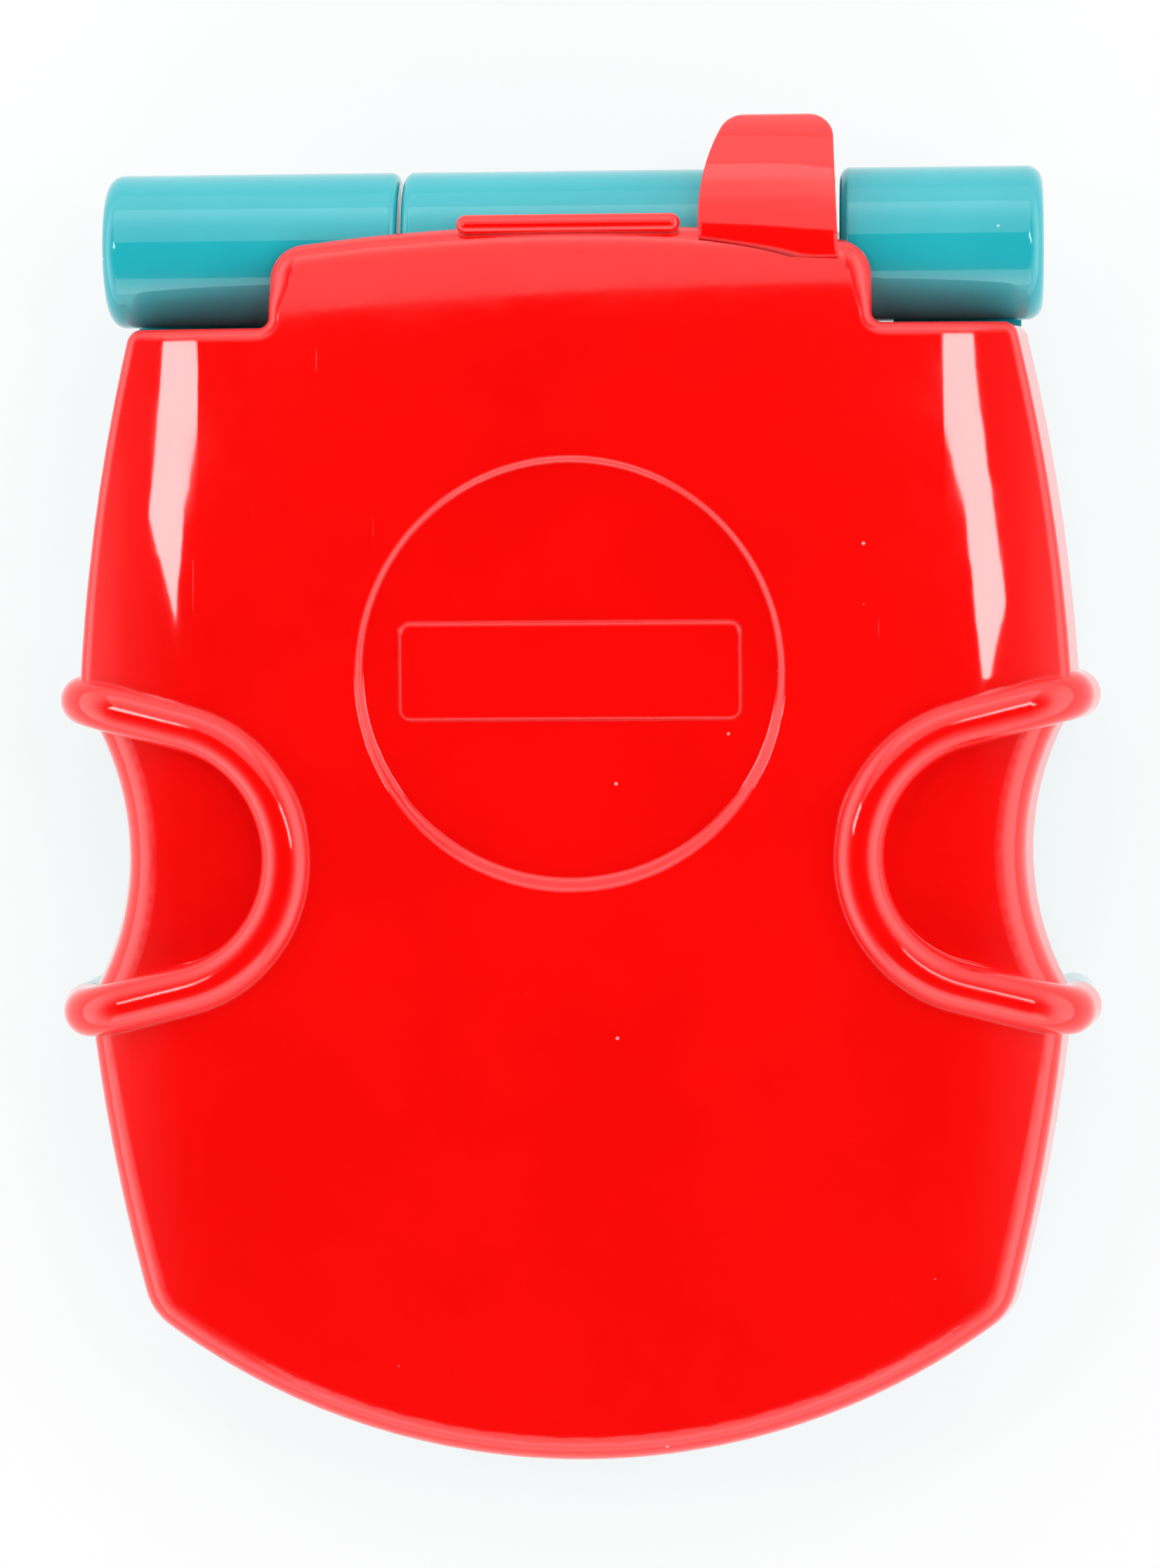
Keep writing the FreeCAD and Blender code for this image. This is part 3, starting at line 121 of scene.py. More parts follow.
def bump(tree, height, distance, strength=1.0, before=None):
    """A bump of a height field, on top of another bump if there is one."""
    links = {"Height": height, "Distance": distance, "Strength": strength}
    if before:
        links["Normal"] = before
    return add(tree, "ShaderNodeBump", links).outputs["Normal"]


def start_material(name):
    """An empty material with its Principled shader and the object's own coordinates."""
    material = bpy.data.materials.new(name)
    material.use_nodes = True
    tree = material.node_tree
    shader = tree.nodes["Principled BSDF"]
    where = add(tree, "ShaderNodeTexCoord").outputs["Object"]
    return material, tree, shader, where


def fit(tree, shader, **inputs):
    """Set or link the shader's inputs, named with underscores for spaces."""
    for key, value in inputs.items():
        socket = shader.inputs[key.replace("_", " ")]
        if isinstance(value, bpy.types.NodeSocket):
            tree.links.new(value, socket)
        elif isinstance(value, tuple):
            socket.default_value = (*value, 1.0)[:len(socket.default_value)]
        else:
            socket.default_value = value


def mix_out(tree, factor, first, second):
    """Let the material show a mix of two shaders."""
    mix = add(tree, "ShaderNodeMixShader", {0: factor})
    tree.links.new(first, mix.inputs[1])
    tree.links.new(second, mix.inputs[2])
    tree.links.new(mix.outputs["Shader"], tree.nodes["Material Output"].inputs["Surface"])


# Finishes. Pattern scales are features per metre, and an edge is the stretch over which a pattern fades.

SPECK_SCALE, SPECK_EDGE, SPECK_SHARE = 230.0, (0.10, 0.05), 0.016
SPECK_PALE, SPECK_DULL = 0.55, 0.4
HAIRLINE_STRETCH, HAIRLINE_TURNS, HAIRLINE_EDGE = (1400.0, 22.0, 60.0), (0.5, 2.2), (0.735, 0.79)
HAIRLINE_STRENGTH, HAIRLINE_DULL, HAIRLINE_DEPTH = 0.35, 0.22, 0.03 * MM
CLOUD_SCALE, CLOUD_EDGE = 26.0, (0.35, 0.7)
SMUDGE_SCALE, SMUDGE_EDGE, SMUDGE_DULL = 55.0, (0.42, 0.68), 0.03
PEEL_SCALE, PEEL_DEPTH = 420.0, 0.12 * MM
PLASTIC_IOR, COAT, COAT_ROUGHNESS, CREASE_SAMPLES = 1.5, 0.5, 0.03, 6


def speck_mask(tree, where):
    """Sparse specks of lint, a fraction of a millimetre across."""
    cells = cell_pattern(tree, where, SPECK_SCALE, 1.0)
    speck = between(tree, cells["Distance"], *SPECK_EDGE)
    chance = add(tree, "ShaderNodeSeparateColor", {"Color": cells["Color"]}).outputs["Red"]
    return calc(tree, "MULTIPLY", speck, calc(tree, "LESS_THAN", chance, SPECK_SHARE))


def hairline_mask(tree, where):
    """Fine hairline scratches in two directions."""
    masks = []
    for turn in HAIRLINE_TURNS:
        lines = noise(tree, stretched(tree, where, HAIRLINE_STRETCH, turn), 1.0, 2.0)
        masks.append(between(tree, lines, *HAIRLINE_EDGE))
    return calc(tree, "MAXIMUM", *masks)


def moulded_plastic(name, colour, shade, roughness, peel=0.02, soft=0.4 * MM):
    """Glossy moulded plastic: uneven colour, smudges, hairlines, specks, orange peel, soft creases."""
    material, tree, shader, where = start_material(name)
    clouds = between(tree, noise(tree, where, CLOUD_SCALE, 4.0), *CLOUD_EDGE)
    body = blend(tree, clouds, colour, shade)
    hairline = calc(tree, "MULTIPLY", hairline_mask(tree, where), HAIRLINE_STRENGTH)
    speck = speck_mask(tree, where)
    pale = tuple(0.55 + 0.4 * part for part in colour)
    body = blend(tree, calc(tree, "MULTIPLY", speck, SPECK_PALE), body, pale)
    smudge = noise(tree, where, SMUDGE_SCALE, 6.0, 0.65)
    rough = between(tree, smudge, *SMUDGE_EDGE, roughness, roughness + SMUDGE_DULL)
    rough = calc(tree, "ADD", rough, calc(tree, "MULTIPLY", hairline, HAIRLINE_DULL))
    rough = calc(tree, "ADD", rough, calc(tree, "MULTIPLY", speck, SPECK_DULL))
    crease = add(tree, "ShaderNodeBevel", {"Radius": soft}, samples=CREASE_SAMPLES).outputs["Normal"]
    skin = bump(tree, noise(tree, where, PEEL_SCALE, 2.0), PEEL_DEPTH, peel, crease)
    skin = bump(tree, hairline, -HAIRLINE_DEPTH, 0.5, skin)
    fit(tree, shader, Base_Color=body, Roughness=rough, Normal=skin, IOR=PLASTIC_IOR,
        Coat_Weight=COAT, Coat_Roughness=COAT_ROUGHNESS)
    return material


SCUFF_SCALE, SCUFF_EDGE = 180.0, (0.5, 0.75)
RUBBER_GRAIN, RUBBER_DEPTH, RUBBER_DULL, RUBBER_IOR = 2600.0, 0.08 * MM, (0.62, 0.85), 1.45


def rubber(name, colour):
    """Dull rubber with a fine grain and pale scuffs."""
    material, tree, shader, where = start_material(name)
    scuff = between(tree, noise(tree, where, SCUFF_SCALE, 5.0, 0.7), *SCUFF_EDGE)
    pale = tuple(0.12 + 0.8 * part for part in colour)
    grain = noise(tree, where, RUBBER_GRAIN, 2.0)
    fit(tree, shader, Base_Color=blend(tree, scuff, colour, pale), IOR=RUBBER_IOR,
        Roughness=between(tree, scuff, 0.0, 1.0, *RUBBER_DULL),
        Normal=bump(tree, grain, RUBBER_DEPTH, 0.4))
    return material


STEEL_STRETCH, STEEL_DEPTH, STEEL_DULL = (4000.0, 300.0, 300.0), 0.02 * MM, 0.12
SPOT_SCALE, SPOT_EDGE, SPOT_DULL = 320.0, (0.55, 0.75), 0.15
NOISE_MIDDLE = (0.3, 0.7)  # where most of a noise's values lie


def brushed_steel(name, colour, roughness):
    """Plated steel with fine lines and a few dull spots."""
    material, tree, shader, where = start_material(name)
    lines = noise(tree, stretched(tree, where, STEEL_STRETCH), 1.0, 2.0)
    spots = between(tree, noise(tree, where, SPOT_SCALE, 4.0), *SPOT_EDGE)
    dull = tuple(0.72 * part for part in colour)
    rough = between(tree, lines, *NOISE_MIDDLE, roughness, roughness + STEEL_DULL)
    rough = calc(tree, "ADD", rough, calc(tree, "MULTIPLY", spots, SPOT_DULL))
    fit(tree, shader, Base_Color=blend(tree, spots, colour, dull), Metallic=1.0, Roughness=rough,
        Normal=bump(tree, lines, STEEL_DEPTH, 0.5))
    return material


GRAIN_EDGE = (0.35, 0.68)


def matte_grain(name, colour, shade, scale, roughness, depth):
    """A dull grainy surface such as paper, epoxy or sintered iron."""
    material, tree, shader, where = start_material(name)
    grain = noise(tree, where, scale, 5.0, 0.65)
    fit(tree, shader, Base_Color=blend(tree, between(tree, grain, *GRAIN_EDGE), colour, shade),
        Roughness=between(tree, grain, *NOISE_MIDDLE, roughness - 0.1, roughness + 0.1),
        Normal=bump(tree, grain, depth, 0.6))
    return material


MASK_GREEN, TRACE_GREEN, TINNED = (0.010, 0.115, 0.045), (0.030, 0.24, 0.085), (0.62, 0.60, 0.54)
TRACE_STRETCHES = ((0.0, 330.0, 0.0), (210.0, 0.0, 0.0))  # traces along X, and traces along Y
TRACE_EDGE, TRACE_DULL, TRACE_DEPTH = (0.82, 0.9), (0.34, 0.28), 0.06 * MM
PATCH_SCALE, PATCH_EDGE = 45.0, (0.49, 0.51)  # patches whose traces run one way
PAD_SCALE, PAD_SCATTER, PAD_EDGE = 150.0, 0.35, (0.19, 0.15)


def circuit_board(name):
    """Green solder mask with paler traces and tinned pads."""
    material, tree, shader, where = start_material(name)
    masks = []
    for stretch in TRACE_STRETCHES:
        links = {"Vector": stretched(tree, where, stretch), "Scale": 1.0, "Distortion": 0.0}
        waves = add(tree, "ShaderNodeTexWave", links, bands_direction="DIAGONAL")
        masks.append(between(tree, waves.outputs["Fac"], *TRACE_EDGE))
    along_x = between(tree, noise(tree, where, PATCH_SCALE, 0.0), *PATCH_EDGE)
    along_y = calc(tree, "SUBTRACT", 1.0, along_x)
    trace = calc(tree, "ADD", calc(tree, "MULTIPLY", masks[0], along_x),
                 calc(tree, "MULTIPLY", masks[1], along_y))
    pad = between(tree, cell_pattern(tree, where, PAD_SCALE, PAD_SCATTER)["Distance"], *PAD_EDGE)
    body = blend(tree, pad, blend(tree, trace, MASK_GREEN, TRACE_GREEN), TINNED)
    fit(tree, shader, Base_Color=body, Metallic=pad,
        Roughness=between(tree, trace, 0.0, 1.0, *TRACE_DULL),
        Normal=bump(tree, calc(tree, "ADD", trace, pad), TRACE_DEPTH, 0.7))
    return material


# The printed card, in shares of half its width and height from its middle
SKY_LOW, SKY_HIGH, SKY_FADE = (0.62, 0.84, 0.95), (0.10, 0.42, 0.80), (-0.2, 1.0)
SUN_PLACE, SUN_SQUASH = 0.48, 0.84
GLOW_EDGE, GLOW = (0.42, 0.24), (0.98, 0.86, 0.42)
SUN_EDGE, SUN = (0.225, 0.215), (0.98, 0.66, 0.04)
HILLS = (  # waves across, their shift, swell and level, and the green
    (2.3, 0.6, 0.22, -0.12, (0.10, 0.44, 0.20)),
    (1.9, 2.6, 0.20, -0.42, (0.22, 0.60, 0.10)),
)
HILL_EDGE = (-0.004, 0.004)
PRINT_DOTS, DOT_EDGE, DOT_STRENGTH = 1500.0, (0.2, 0.5), 0.06
CARD_SHEEN, CARD_DULL = 700.0, (0.38, 0.5)
WHITE = (1.0, 1.0, 1.0)


def picture_print(name, window):
    """A printed card: sky, sun and two hills. Its top is towards -Y, as the open lid shows it."""
    low, high = window
    material, tree, shader, where = start_material(name)
    place = axes(tree, where)
    across = between_linear(tree, place["X"], low[0], high[0], -1.0, 1.0)
    upward = between_linear(tree, place["Y"], high[1], low[1], -1.0, 1.0)
    body = blend(tree, between(tree, upward, *SKY_FADE), SKY_LOW, SKY_HIGH)
    sun_x = calc(tree, "SUBTRACT", across, SUN_PLACE)
    sun_y = calc(tree, "MULTIPLY", calc(tree, "SUBTRACT", upward, SUN_PLACE), SUN_SQUASH)
    from_sun = add(tree, "ShaderNodeCombineXYZ", {"X": sun_x, "Y": sun_y}).outputs["Vector"]
    away = add(tree, "ShaderNodeVectorMath", {0: from_sun}, operation="LENGTH").outputs["Value"]
    body = blend(tree, between(tree, away, *GLOW_EDGE), body, GLOW)
    body = blend(tree, between(tree, away, *SUN_EDGE), body, SUN)
    for waves, shift, swell, level, green in HILLS:
        wave = calc(tree, "SINE", calc(tree, "ADD", calc(tree, "MULTIPLY", across, waves), shift))
        crest = calc(tree, "ADD", calc(tree, "MULTIPLY", wave, swell), level)
        hill = between(tree, calc(tree, "SUBTRACT", crest, upward), *HILL_EDGE)
        body = blend(tree, hill, body, green)
    dots = cell_pattern(tree, where, PRINT_DOTS, 0.0)["Distance"]
    body = blend(tree, between(tree, dots, *DOT_EDGE, 0.0, DOT_STRENGTH), body, WHITE)
    rough = between(tree, noise(tree, where, CARD_SHEEN), *NOISE_MIDDLE, *CARD_DULL)
    fit(tree, shader, Base_Color=body, Roughness=rough)
    return material


PASSES_THROUGH = 0.9  # share of the light that clear plastic lets through to what lies behind
CLEAR_SMUDGE, CLEAR_SMUDGE_EDGE, CLEAR_SMUDGE_DULL = 60.0, (0.45, 0.7), 0.05
CLEAR_HAIRLINE_DULL, CLEAR_HAIRLINE_DEPTH, CLEAR_IOR = 0.12, 0.02 * MM, 1.49


def clear_plastic(name, colour, roughness, transmission):
    """Clear or tinted plastic with faint hairlines."""
    material, tree, shader, where = start_material(name)
    hairline = hairline_mask(tree, where)
    smudge = noise(tree, where, CLEAR_SMUDGE, 5.0)
    rough = between(tree, smudge, *CLEAR_SMUDGE_EDGE, roughness, roughness + CLEAR_SMUDGE_DULL)
    rough = calc(tree, "ADD", rough, calc(tree, "MULTIPLY", hairline, CLEAR_HAIRLINE_DULL))
    fit(tree, shader, Base_Color=colour, Roughness=rough, Transmission_Weight=transmission,
        IOR=CLEAR_IOR, Normal=bump(tree, hairline, -CLEAR_HAIRLINE_DEPTH, 0.4))
    # Light that falls on what lies behind passes straight through
    path = add(tree, "ShaderNodeLightPath").outputs
    lights = calc(tree, "MAXIMUM", path["Is Shadow Ray"], path["Is Diffuse Ray"])
    passing = calc(tree, "MULTIPLY", lights, PASSES_THROUGH * transmission)
    clear = add(tree, "ShaderNodeBsdfTransparent", {"Color": (*colour, 1.0)})
    mix_out(tree, passing, shader.outputs["BSDF"], clear.outputs["BSDF"])
    return material


SHOULDER_EDGE = (11.8 * MM, 12.0 * MM)  # from the toy's middle towards a cell's nub end
TIP_EDGE = (25.9 * MM, 26.0 * MM)
JACKET_DARK, JACKET_WORN = (0.012, 0.014, 0.018), (0.028, 0.030, 0.036)
COPPER, BARE_STEEL = (0.62, 0.26, 0.08), (0.62, 0.62, 0.64)
JACKET_GRAIN, JACKET_DULL = 500.0, (0.22, 0.34)


def cell_jacket(name, cells):
    """Plain dark jacket with a coppery shoulder at each cell's nub end, and bare steel tips."""
    low, high = cells
    material, tree, shader, where = start_material(name)
    place = axes(tree, where)
    front_cell = calc(tree, "LESS_THAN", place["Y"], (low[1] + high[1]) / 2)
    heading = calc(tree, "SUBTRACT", calc(tree, "MULTIPLY", front_cell, 2.0), 1.0)
    along = calc(tree, "MULTIPLY", place["X"], heading)
    shoulder = between(tree, along, *SHOULDER_EDGE)
    tip = between(tree, along, *TIP_EDGE)
    grain = noise(tree, where, JACKET_GRAIN, 3.0)
    body = blend(tree, shoulder, blend(tree, grain, JACKET_DARK, JACKET_WORN), COPPER)
    fit(tree, shader, Base_Color=blend(tree, tip, body, BARE_STEEL),
        Metallic=calc(tree, "MAXIMUM", shoulder, tip),
        Roughness=between(tree, grain, *NOISE_MIDDLE, *JACKET_DULL))
    return material


RED, RED_SHADE = (0.90, 0.0025, 0.002), (0.84, 0.002, 0.0015)
TEAL, TEAL_SHADE = (0.020, 0.440, 0.500), (0.015, 0.400, 0.460)
KEY_ROUGHNESS = 0.14
KEY_COLOURS = {
    "key_yellow": ((0.92, 0.60, 0.03), (0.86, 0.52, 0.025)),
    "key_white": ((0.86, 0.86, 0.82), (0.80, 0.79, 0.74)),
    "key_blue": ((0.025, 0.15, 0.60), (0.02, 0.12, 0.50)),
    "key_orange": ((0.90, 0.25, 0.015), (0.82, 0.21, 0.012)),
    "key_green": ((0.07, 0.42, 0.08), (0.055, 0.35, 0.065)),
    "key_red": (RED, RED_SHADE),
}
GRAINS = {  # colour, shade, grain scale, roughness and grain depth
    "chip_black": ((0.012, 0.012, 0.013), (0.03, 0.03, 0.032), 900.0, 0.42, 0.05 * MM),
    "cone_paper": ((0.022, 0.022, 0.024), (0.06, 0.058, 0.055), 1600.0, 0.85, 0.1 * MM),
    "magnet_iron": ((0.05, 0.05, 0.052), (0.11, 0.105, 0.10), 700.0, 0.55, 0.08 * MM),
}
FINISHES = {
    "red_gloss": moulded_plastic("red_gloss", RED, RED_SHADE, 0.04, soft=1.0 * MM),
    "teal_gloss": moulded_plastic("teal_gloss", TEAL, TEAL_SHADE, 0.06),
    "panel_yellow": moulded_plastic("panel_yellow", (0.93, 0.58, 0.035), (0.91, 0.56, 0.033),
                                    0.22, peel=0.15),
    "clear_lens": clear_plastic("clear_lens", (0.97, 0.985, 1.0), 0.02, 1.0),
    "card_print": picture_print("card_print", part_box("screen_lens")),
    "rubber_dark": rubber("rubber_dark", (0.018, 0.018, 0.020)),
    "rubber_grey": rubber("rubber_grey", (0.30, 0.31, 0.33)),
    "steel": brushed_steel("steel", (0.66, 0.66, 0.68), 0.24),
    "board_green": circuit_board("board_green"),
    "light_red": clear_plastic("light_red", (0.85, 0.03, 0.02), 0.12, 0.55),
    "cell_jacket": cell_jacket("cell_jacket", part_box("batteries")),
}
for slot, colours in KEY_COLOURS.items():
    FINISHES[slot] = moulded_plastic(slot, *colours, KEY_ROUGHNESS)
for slot, grain_values in GRAINS.items():
    FINISHES[slot] = matte_grain(slot, *grain_values)

for part in subparts:
    part_mesh = nodes[part["node"]].data
    part_mesh.materials.clear()
    part_mesh.materials.append(FINISHES[part["material_slot"]])


# Small raised details in mesh code

SINK = 0.2 * MM  # how far a detail's foot goes into what carries it
APART = 0.01 * MM  # least straight stretch between two rounded ends
BEAD_STEPS, PILLOW_STEPS, CORNER_STEPS = 8, 6, 9


def place_piece(name, mesh, body, slot):
    """Make a piece of a mesh, with its finish, that moves with a body."""
    mesh.materials.clear()
    mesh.materials.append(FINISHES[slot])
    made = bpy.data.objects.new(name, mesh)
    bpy.context.collection.objects.link(made)
    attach(made, body)


def finish_work(name, work, body, slot):
    """Turn finished bmesh work into a smooth piece."""
    bmesh.ops.recalc_face_normals(work, faces=work.faces)
    mesh = bpy.data.meshes.new(name)
    work.to_mesh(mesh)
    work.free()
    mesh.shade_smooth()
    place_piece(name, mesh, body, slot)


def rounded_outline(middle, half, radius, steps=CORNER_STEPS):
    """Points of a rounded rectangle, each with its outward direction."""
    points = []
    for quarter, (sx, sy) in enumerate(((1, 1), (-1, 1), (-1, -1), (1, -1))):
        centre = Vector((middle[0] + sx * (half[0] - radius),
                         middle[1] + sy * (half[1] - radius), 0))
        for step in range(steps):
            angle = math.pi / 2 * (quarter + step / (steps - 1))
            outward = Vector((math.cos(angle), math.sin(angle), 0))
            points.append((centre + outward * radius, outward))
    return points


def round_ended(middle, half, steps=CORNER_STEPS):
    """Points of a circle, or of a slot with round ends."""
    return rounded_outline(middle, half, min(half) - APART, steps)


def loft(work, rings):
    """Faces between rings of points. Gives each ring's vertices."""
    rows = [[work.verts.new(point) for point in ring] for ring in rings]
    for lower, upper in zip(rows, rows[1:]):
        join_rows(work, lower, upper)
    return rows


def join_rows(work, lower, upper):
    """A band of faces between two closed rows of vertices."""
    for index in range(len(lower)):
        after = (index + 1) % len(lower)
        work.faces.new((lower[index], lower[after], upper[after], upper[index]))


def bead_ring(name, outline, height, width, rise, body, slot):
    """A raised round bead along a closed outline, its flat side sunk into what carries it."""
    work = bmesh.new()
    rings = []
    for step in range(BEAD_STEPS + 1):
        angle = math.pi * step / BEAD_STEPS
        across, lift = math.cos(angle) * width / 2, math.sin(angle) * rise
        rings.append([point + outward * across + UP * (height + lift) for point, outward in outline])
    foot = UP * (height - math.copysign(SINK, rise))
    for side in (-1, 1):
        rings.append([point + outward * side * width / 2 + foot for point, outward in outline])
    rows = loft(work, rings)
    join_rows(work, rows[-1], rows[0])
    finish_work(name, work, body, slot)


def pillow(name, outline, height, edge, rise, body, slot):
    """A raised pad with a rounded rim, on or under what carries it."""
    work = bmesh.new()
    rings = [[point + UP * (height - math.copysign(SINK, rise)) for point, _ in outline]]
    for step in range(PILLOW_STEPS + 1):
        angle = math.pi / 2 * step / PILLOW_STEPS
        inset, lift = (1 - math.cos(angle)) * edge, math.sin(angle) * rise
        rings.append([point - outward * inset + UP * (height + lift) for point, outward in outline])
    rows = loft(work, rings)
    work.faces.new(rows[0])
    work.faces.new(rows[-1])
    finish_work(name, work, body, slot)


NUMERAL_SIZE, NUMERAL_RISE, NUMERAL_SINK, NUMERAL_ROUND = 13 * MM, 0.25 * MM, 0.1 * MM, 0.08 * MM


def legend(name, text, at, body, slot):
    """A raised numeral lying on a key, centred on a point."""
    curve = bpy.data.curves.new(name + "_curve", "FONT")
    curve.body = text
    curve.size = NUMERAL_SIZE
    curve.align_x = "CENTER"
    curve.align_y = "CENTER"
    curve.extrude = (NUMERAL_RISE + NUMERAL_SINK) / 2
    curve.bevel_depth = NUMERAL_ROUND
    curve.bevel_resolution = 2
    written = bpy.data.objects.new(name + "_text", curve)
    bpy.context.collection.objects.link(written)
    bpy.context.view_layer.update()
    shaped = written.evaluated_get(bpy.context.evaluated_depsgraph_get())
    mesh = bpy.data.meshes.new_from_object(shaped)
    mesh.name = name
    bpy.data.objects.remove(written)
    mesh.transform(Matrix.Translation(at + UP * (NUMERAL_RISE - NUMERAL_SINK) / 2))
    place_piece(name, mesh, body, slot)


def centre_of(node):
    """The middle of a node's box."""
    low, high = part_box(node)
    return (Vector(low) + Vector(high)) / 2


# Numerals on the keys, and dots on the long bar key
INK = {"key_yellow": "key_blue", "key_white": "key_red", "key_blue": "key_white",
       "key_orange": "key_white", "key_green": "key_yellow", "key_red": "key_white"}
slot_of = {part["node"]: part["material_slot"] for part in subparts}
for number in range(1, 9):
    key = f"key_{number}"
    key_middle = centre_of(key)
    key_middle.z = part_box(key)[1][2]
    legend(f"numeral_{number}", str(number), key_middle, key, INK[slot_of[key]])

BAR_DOT_PITCH, BAR_DOT_RADIUS, BAR_DOT_EDGE, BAR_DOT_RISE = 20 * MM, 3 * MM, 0.5 * MM, 0.45 * MM
bar_middle = centre_of("bar_key")
bar_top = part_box("bar_key")[1][2]
for index in range(3):
    dot = round_ended((bar_middle.x + (index - 1) * BAR_DOT_PITCH, bar_middle.y),
                      (BAR_DOT_RADIUS, BAR_DOT_RADIUS))
    pillow(f"bar_dot_{index + 1}", dot, bar_top, BAR_DOT_EDGE, BAR_DOT_RISE, "bar_key", "key_white")

# A bezel round the screen, under the lid's panel
PANEL_HALF = 1.3 * MM  # half the panel's thickness
BEZEL_MARGIN, BEZEL_CORNER, BEZEL_WIDTH, BEZEL_RISE = 2.4 * MM, 8 * MM, 3.6 * MM, 0.45 * MM
panel_low = centre_of("lid_panel").z - PANEL_HALF
lens_low, lens_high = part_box("screen_lens")
lens_half = ((lens_high[0] - lens_low[0]) / 2, (lens_high[1] - lens_low[1]) / 2)
bezel = rounded_outline(centre_of("screen_lens"), [side + BEZEL_MARGIN for side in lens_half],
                        BEZEL_CORNER)
bead_ring("screen_bezel", bezel, panel_low, BEZEL_WIDTH, -BEZEL_RISE, "lid", "key_blue")

# Frames on the deck: round the keys, the speaker and the light
DECK_HALF = 1.25 * MM  # half the deck's thickness
KEY_FRAME_SIDE, KEY_FRAME_END, KEY_FRAME_CORNER = 0.7 * MM, 0.9 * MM, 4.5 * MM
KEY_FRAME_WIDTH, KEY_FRAME_RISE = 1.5 * MM, 0.9 * MM
SPEAKER_RING, SPEAKER_RING_WIDTH, SPEAKER_RING_RISE, SPEAKER_STEPS = 18.6 * MM, 2.2 * MM, 1.3 * MM, 24
LIGHT_RING, LIGHT_RING_WIDTH, LIGHT_RING_RISE, LIGHT_STEPS = 5.2 * MM, 1.6 * MM, 0.9 * MM, 12
deck_top = centre_of("keyboard_deck").z + DECK_HALF
keys_high = Vector(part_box("key_4")[1])
bar_low_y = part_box("bar_key")[0][1]
key_frame = rounded_outline((0, (keys_high.y + bar_low_y) / 2),
                            (keys_high.x + KEY_FRAME_SIDE,
                             (keys_high.y - bar_low_y) / 2 + KEY_FRAME_END), KEY_FRAME_CORNER)
bead_ring("key_frame", key_frame, deck_top, KEY_FRAME_WIDTH, KEY_FRAME_RISE, "base", "key_yellow")
ring = round_ended(centre_of("speaker_frame"), (SPEAKER_RING, SPEAKER_RING), SPEAKER_STEPS)
bead_ring("speaker_ring", ring, deck_top, SPEAKER_RING_WIDTH, SPEAKER_RING_RISE, "base", "key_yellow")
ring = round_ended(centre_of("status_light"), (LIGHT_RING, LIGHT_RING), LIGHT_STEPS)
bead_ring("light_ring", ring, deck_top, LIGHT_RING_WIDTH, LIGHT_RING_RISE, "base", "key_white")

# Grip ridges on the power slider, and an off ring and an on bar beside it
RIDGE_PITCH, RIDGE_HALF, RIDGE_EDGE, RIDGE_RISE = 2.4 * MM, (0.6 * MM, 2.5 * MM), 0.5 * MM, 0.5 * MM
MARK_REACH, MARK_RISE, OFF_RADIUS, OFF_WIDTH = 13 * MM, 0.35 * MM, 2.0 * MM, 0.9 * MM
ON_HALF, ON_EDGE = (0.5 * MM, 2.4 * MM), 0.35 * MM
slider = centre_of("power_slider")
slider_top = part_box("power_slider")[1][2]
for index in range(3):
    ridge = round_ended((slider.x + (index - 1) * RIDGE_PITCH, slider.y), RIDGE_HALF)
    pillow(f"slider_ridge_{index + 1}", ridge, slider_top, RIDGE_EDGE, RIDGE_RISE,
           "power_slider", "key_orange")
switch = centre_of("power_switch")
mark = round_ended((switch.x - MARK_REACH, switch.y), (OFF_RADIUS, OFF_RADIUS))
bead_ring("off_mark", mark, deck_top, OFF_WIDTH, MARK_RISE, "base", "key_white")
mark = round_ended((switch.x + MARK_REACH, switch.y), ON_HALF)
pillow("on_mark", mark, deck_top, ON_EDGE, MARK_RISE, "base", "key_white")

# Thumb ribs under the battery door
RIB_FIRST, RIB_PITCH, RIB_HALF = 6 * MM, 3 * MM, (0.8 * MM, 9 * MM)
RIB_EDGE, RIB_RISE = 0.6 * MM, 0.6 * MM
door_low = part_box("battery_door")[0]
for index in range(5):
    rib = round_ended((door_low[0] + RIB_FIRST + RIB_PITCH * index, centre_of("battery_door").y),
                      RIB_HALF)
    pillow(f"door_rib_{index + 1}", rib, door_low[2], RIB_EDGE, -RIB_RISE, "base", "teal_gloss")


# The tab's rims are softly rounded

TAB_ROUND, ROUND_SEGMENTS, SHARP, WELD_GAP = 1.1 * MM, 4, math.radians(40), 0.005 * MM


def soften(node, width):
    """Round a node's sharp rims."""
    weld = nodes[node].modifiers.new("weld", "WELD")
    weld.merge_threshold = WELD_GAP
    bevel = nodes[node].modifiers.new("bevel", "BEVEL")
    bevel.width = width
    bevel.segments = ROUND_SEGMENTS
    bevel.limit_method = "ANGLE"
    bevel.angle_limit = SHARP
    bevel.harden_normals = True


soften("thumb_tab", TAB_ROUND)


# Studio

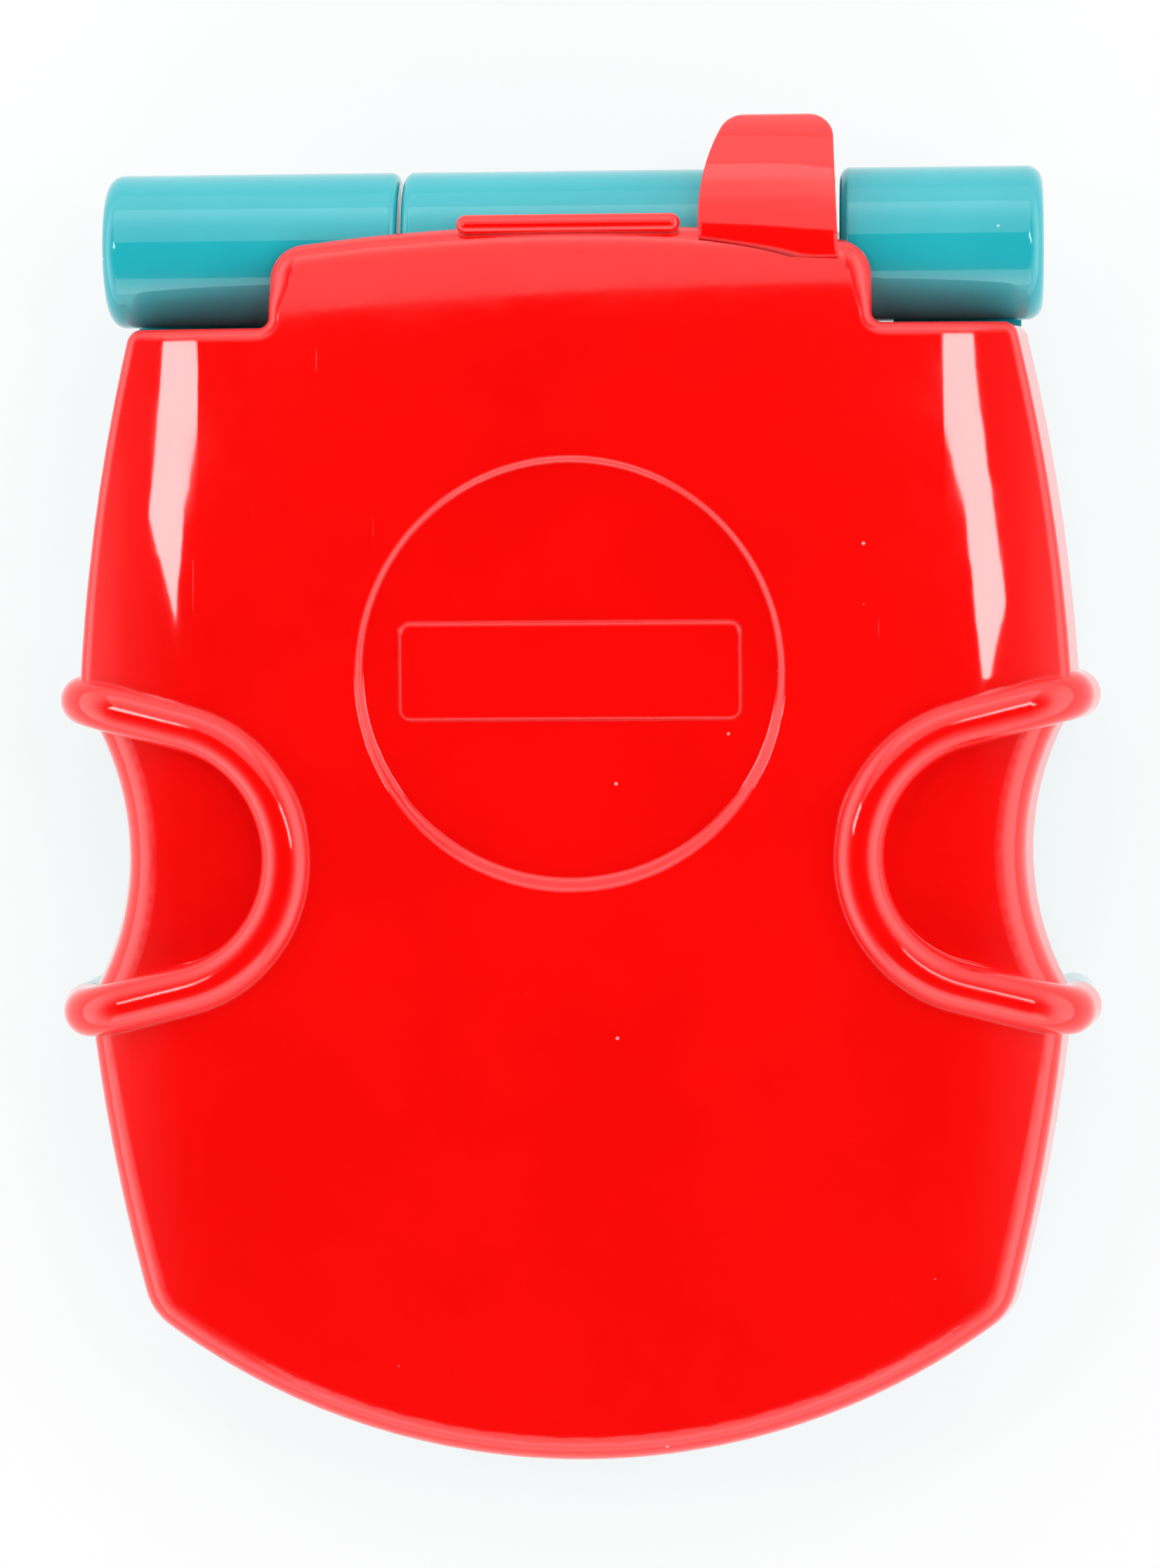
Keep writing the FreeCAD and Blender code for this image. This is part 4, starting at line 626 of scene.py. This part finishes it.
LID_TOP = (0.0, 0.05, 0.05)
SOFT_BOXES = {  # place, direction of the long side, size and radiance
    "left_box": ((-0.590, 0.213, 1.05), (0.55, 0.83, 0.0), (0.235, 0.17), 10.0),
    "right_box": ((0.459, 0.180, 1.05), (-0.65, 0.76, 0.0), (0.345, 0.125), 10.0),
    "front_box": ((0.0, -1.35, 1.0), (1.0, 0.0, 0.0), (1.6, 0.8), 1.0),
    "back_box": ((-0.08, 0.83, 1.0), (1.0, 0.0, 0.0), (1.2, 1.14), 1.0),
}
CEILING = (-0.06, -0.08, 0.995)  # direction of the room's darkest place
ROOM_LEVELS = (  # how far a direction leans to the ceiling, as a cosine, and how bright it is there
    (0.0, 0.9), (0.30, 1.0), (0.50, 0.85), (0.66, 0.42), (0.80, 0.12), (0.91, 0.02), (1.0, 0.006))
FRONT_TO_BACK, FRONT_WALL, BACK_WALL = (-0.7, 0.5), 1.75, 1.5
SIDE_STRETCH, SIDE_EXTRA = (0.5, 0.9), 0.75
FLOOR_RADIUS, FLOOR_SEGMENTS, FLOOR_GLOW = 30.0, 96, 0.75
FLOOR_GRAIN, FLOOR_ROUGHNESS = 90.0, 0.9
FLOOR_SHADES = ((0.90, 0.90, 0.90), (0.93, 0.93, 0.93))


def area_light(name, at, aim, along, size, radiance):
    """A soft box that faces a point, its long side along a direction, giving a plain radiance."""
    data = bpy.data.lights.new(name, "AREA")
    data.shape = "RECTANGLE"
    data.size, data.size_y = size
    data.energy = radiance * math.pi * size[0] * size[1]
    away = (Vector(at) - Vector(aim)).normalized()
    side = Vector(along) - away * away.dot(Vector(along))
    side.normalize()
    turn = Matrix((side, away.cross(side), away)).transposed()
    lamp = bpy.data.objects.new(name, data)
    lamp.matrix_world = Matrix.Translation(at) @ turn.to_4x4()
    bpy.context.collection.objects.link(lamp)


def studio_world():
    """White walls low down, brightest at the sides, a dim room above, and a dark ceiling overhead."""
    world = bpy.data.worlds.new("studio")
    world.use_nodes = True
    tree = world.node_tree
    heading = add(tree, "ShaderNodeTexCoord").outputs["Generated"]
    overhead = add(tree, "ShaderNodeVectorMath", {0: heading, 1: CEILING},
                   operation="DOT_PRODUCT").outputs["Value"]
    ramp = add(tree, "ShaderNodeValToRGB", {"Fac": overhead})
    elements = ramp.color_ramp.elements
    elements.remove(elements[1])
    for index, (place, level) in enumerate(ROOM_LEVELS):
        element = elements[0] if index == 0 else elements.new(place)
        element.position = place
        element.color = (level, level, level, 1.0)
    split = axes(tree, heading)
    lengthwise = between(tree, split["Y"], *FRONT_TO_BACK, FRONT_WALL, BACK_WALL)
    sideways = between(tree, calc(tree, "ABSOLUTE", split["X"]), *SIDE_STRETCH, 0.0, SIDE_EXTRA)
    background = tree.nodes["Background"]
    tree.links.new(ramp.outputs["Color"], background.inputs["Color"])
    tree.links.new(calc(tree, "ADD", lengthwise, sideways), background.inputs["Strength"])
    bpy.context.scene.world = world


def studio_floor():
    """A wide pale floor that shows white, with the object's soft shadow on it."""
    work = bmesh.new()
    bmesh.ops.create_circle(work, cap_ends=True, segments=FLOOR_SEGMENTS, radius=FLOOR_RADIUS)
    mesh = bpy.data.meshes.new("floor")
    work.to_mesh(mesh)
    work.free()
    floor = bpy.data.objects.new("floor", mesh)
    bpy.context.collection.objects.link(floor)
    material, tree, shader, where = start_material("floor_white")
    paper = blend(tree, noise(tree, where, FLOOR_GRAIN, 4.0), *FLOOR_SHADES)
    fit(tree, shader, Base_Color=paper, Roughness=FLOOR_ROUGHNESS)
    path = add(tree, "ShaderNodeLightPath").outputs
    seen = calc(tree, "MAXIMUM", path["Is Camera Ray"],
                calc(tree, "MAXIMUM", path["Is Glossy Ray"], path["Is Transmission Ray"]))
    glow = add(tree, "ShaderNodeEmission", {"Color": (*WHITE, 1.0), "Strength": 1.0})
    mix_out(tree, calc(tree, "MULTIPLY", seen, FLOOR_GLOW),
            shader.outputs["BSDF"], glow.outputs["Emission"])
    mesh.materials.append(material)


for name, (at, along, size, radiance) in SOFT_BOXES.items():
    area_light(name, at, LID_TOP, along, size, radiance)
studio_world()
studio_floor()
bpy.context.scene.view_settings.view_transform = "Standard"


# Camera, fitted to the photograph

PHOTO_WIDTH, FOCAL_PIXELS, SENSOR_WIDTH = 1652, 7764, 36.0
CAMERA_AT = Vector((67.9, 44.78, 1100.0)) * MM
TILT = [math.radians(angle) for angle in (2.31, -3.61, 0.27)]

camera_data = bpy.data.cameras.new("camera")
camera_data.sensor_fit = "HORIZONTAL"
camera_data.sensor_width = SENSOR_WIDTH
camera_data.lens = FOCAL_PIXELS * SENSOR_WIDTH / PHOTO_WIDTH
camera = bpy.data.objects.new("camera", camera_data)
turn = (Matrix.Rotation(TILT[2], 3, "Z") @ Matrix.Rotation(TILT[1], 3, "Y")
        @ Matrix.Rotation(TILT[0], 3, "X"))
camera.matrix_world = Matrix.Translation(CAMERA_AT) @ turn.transposed().to_4x4()
bpy.context.collection.objects.link(camera)
bpy.context.scene.camera = camera
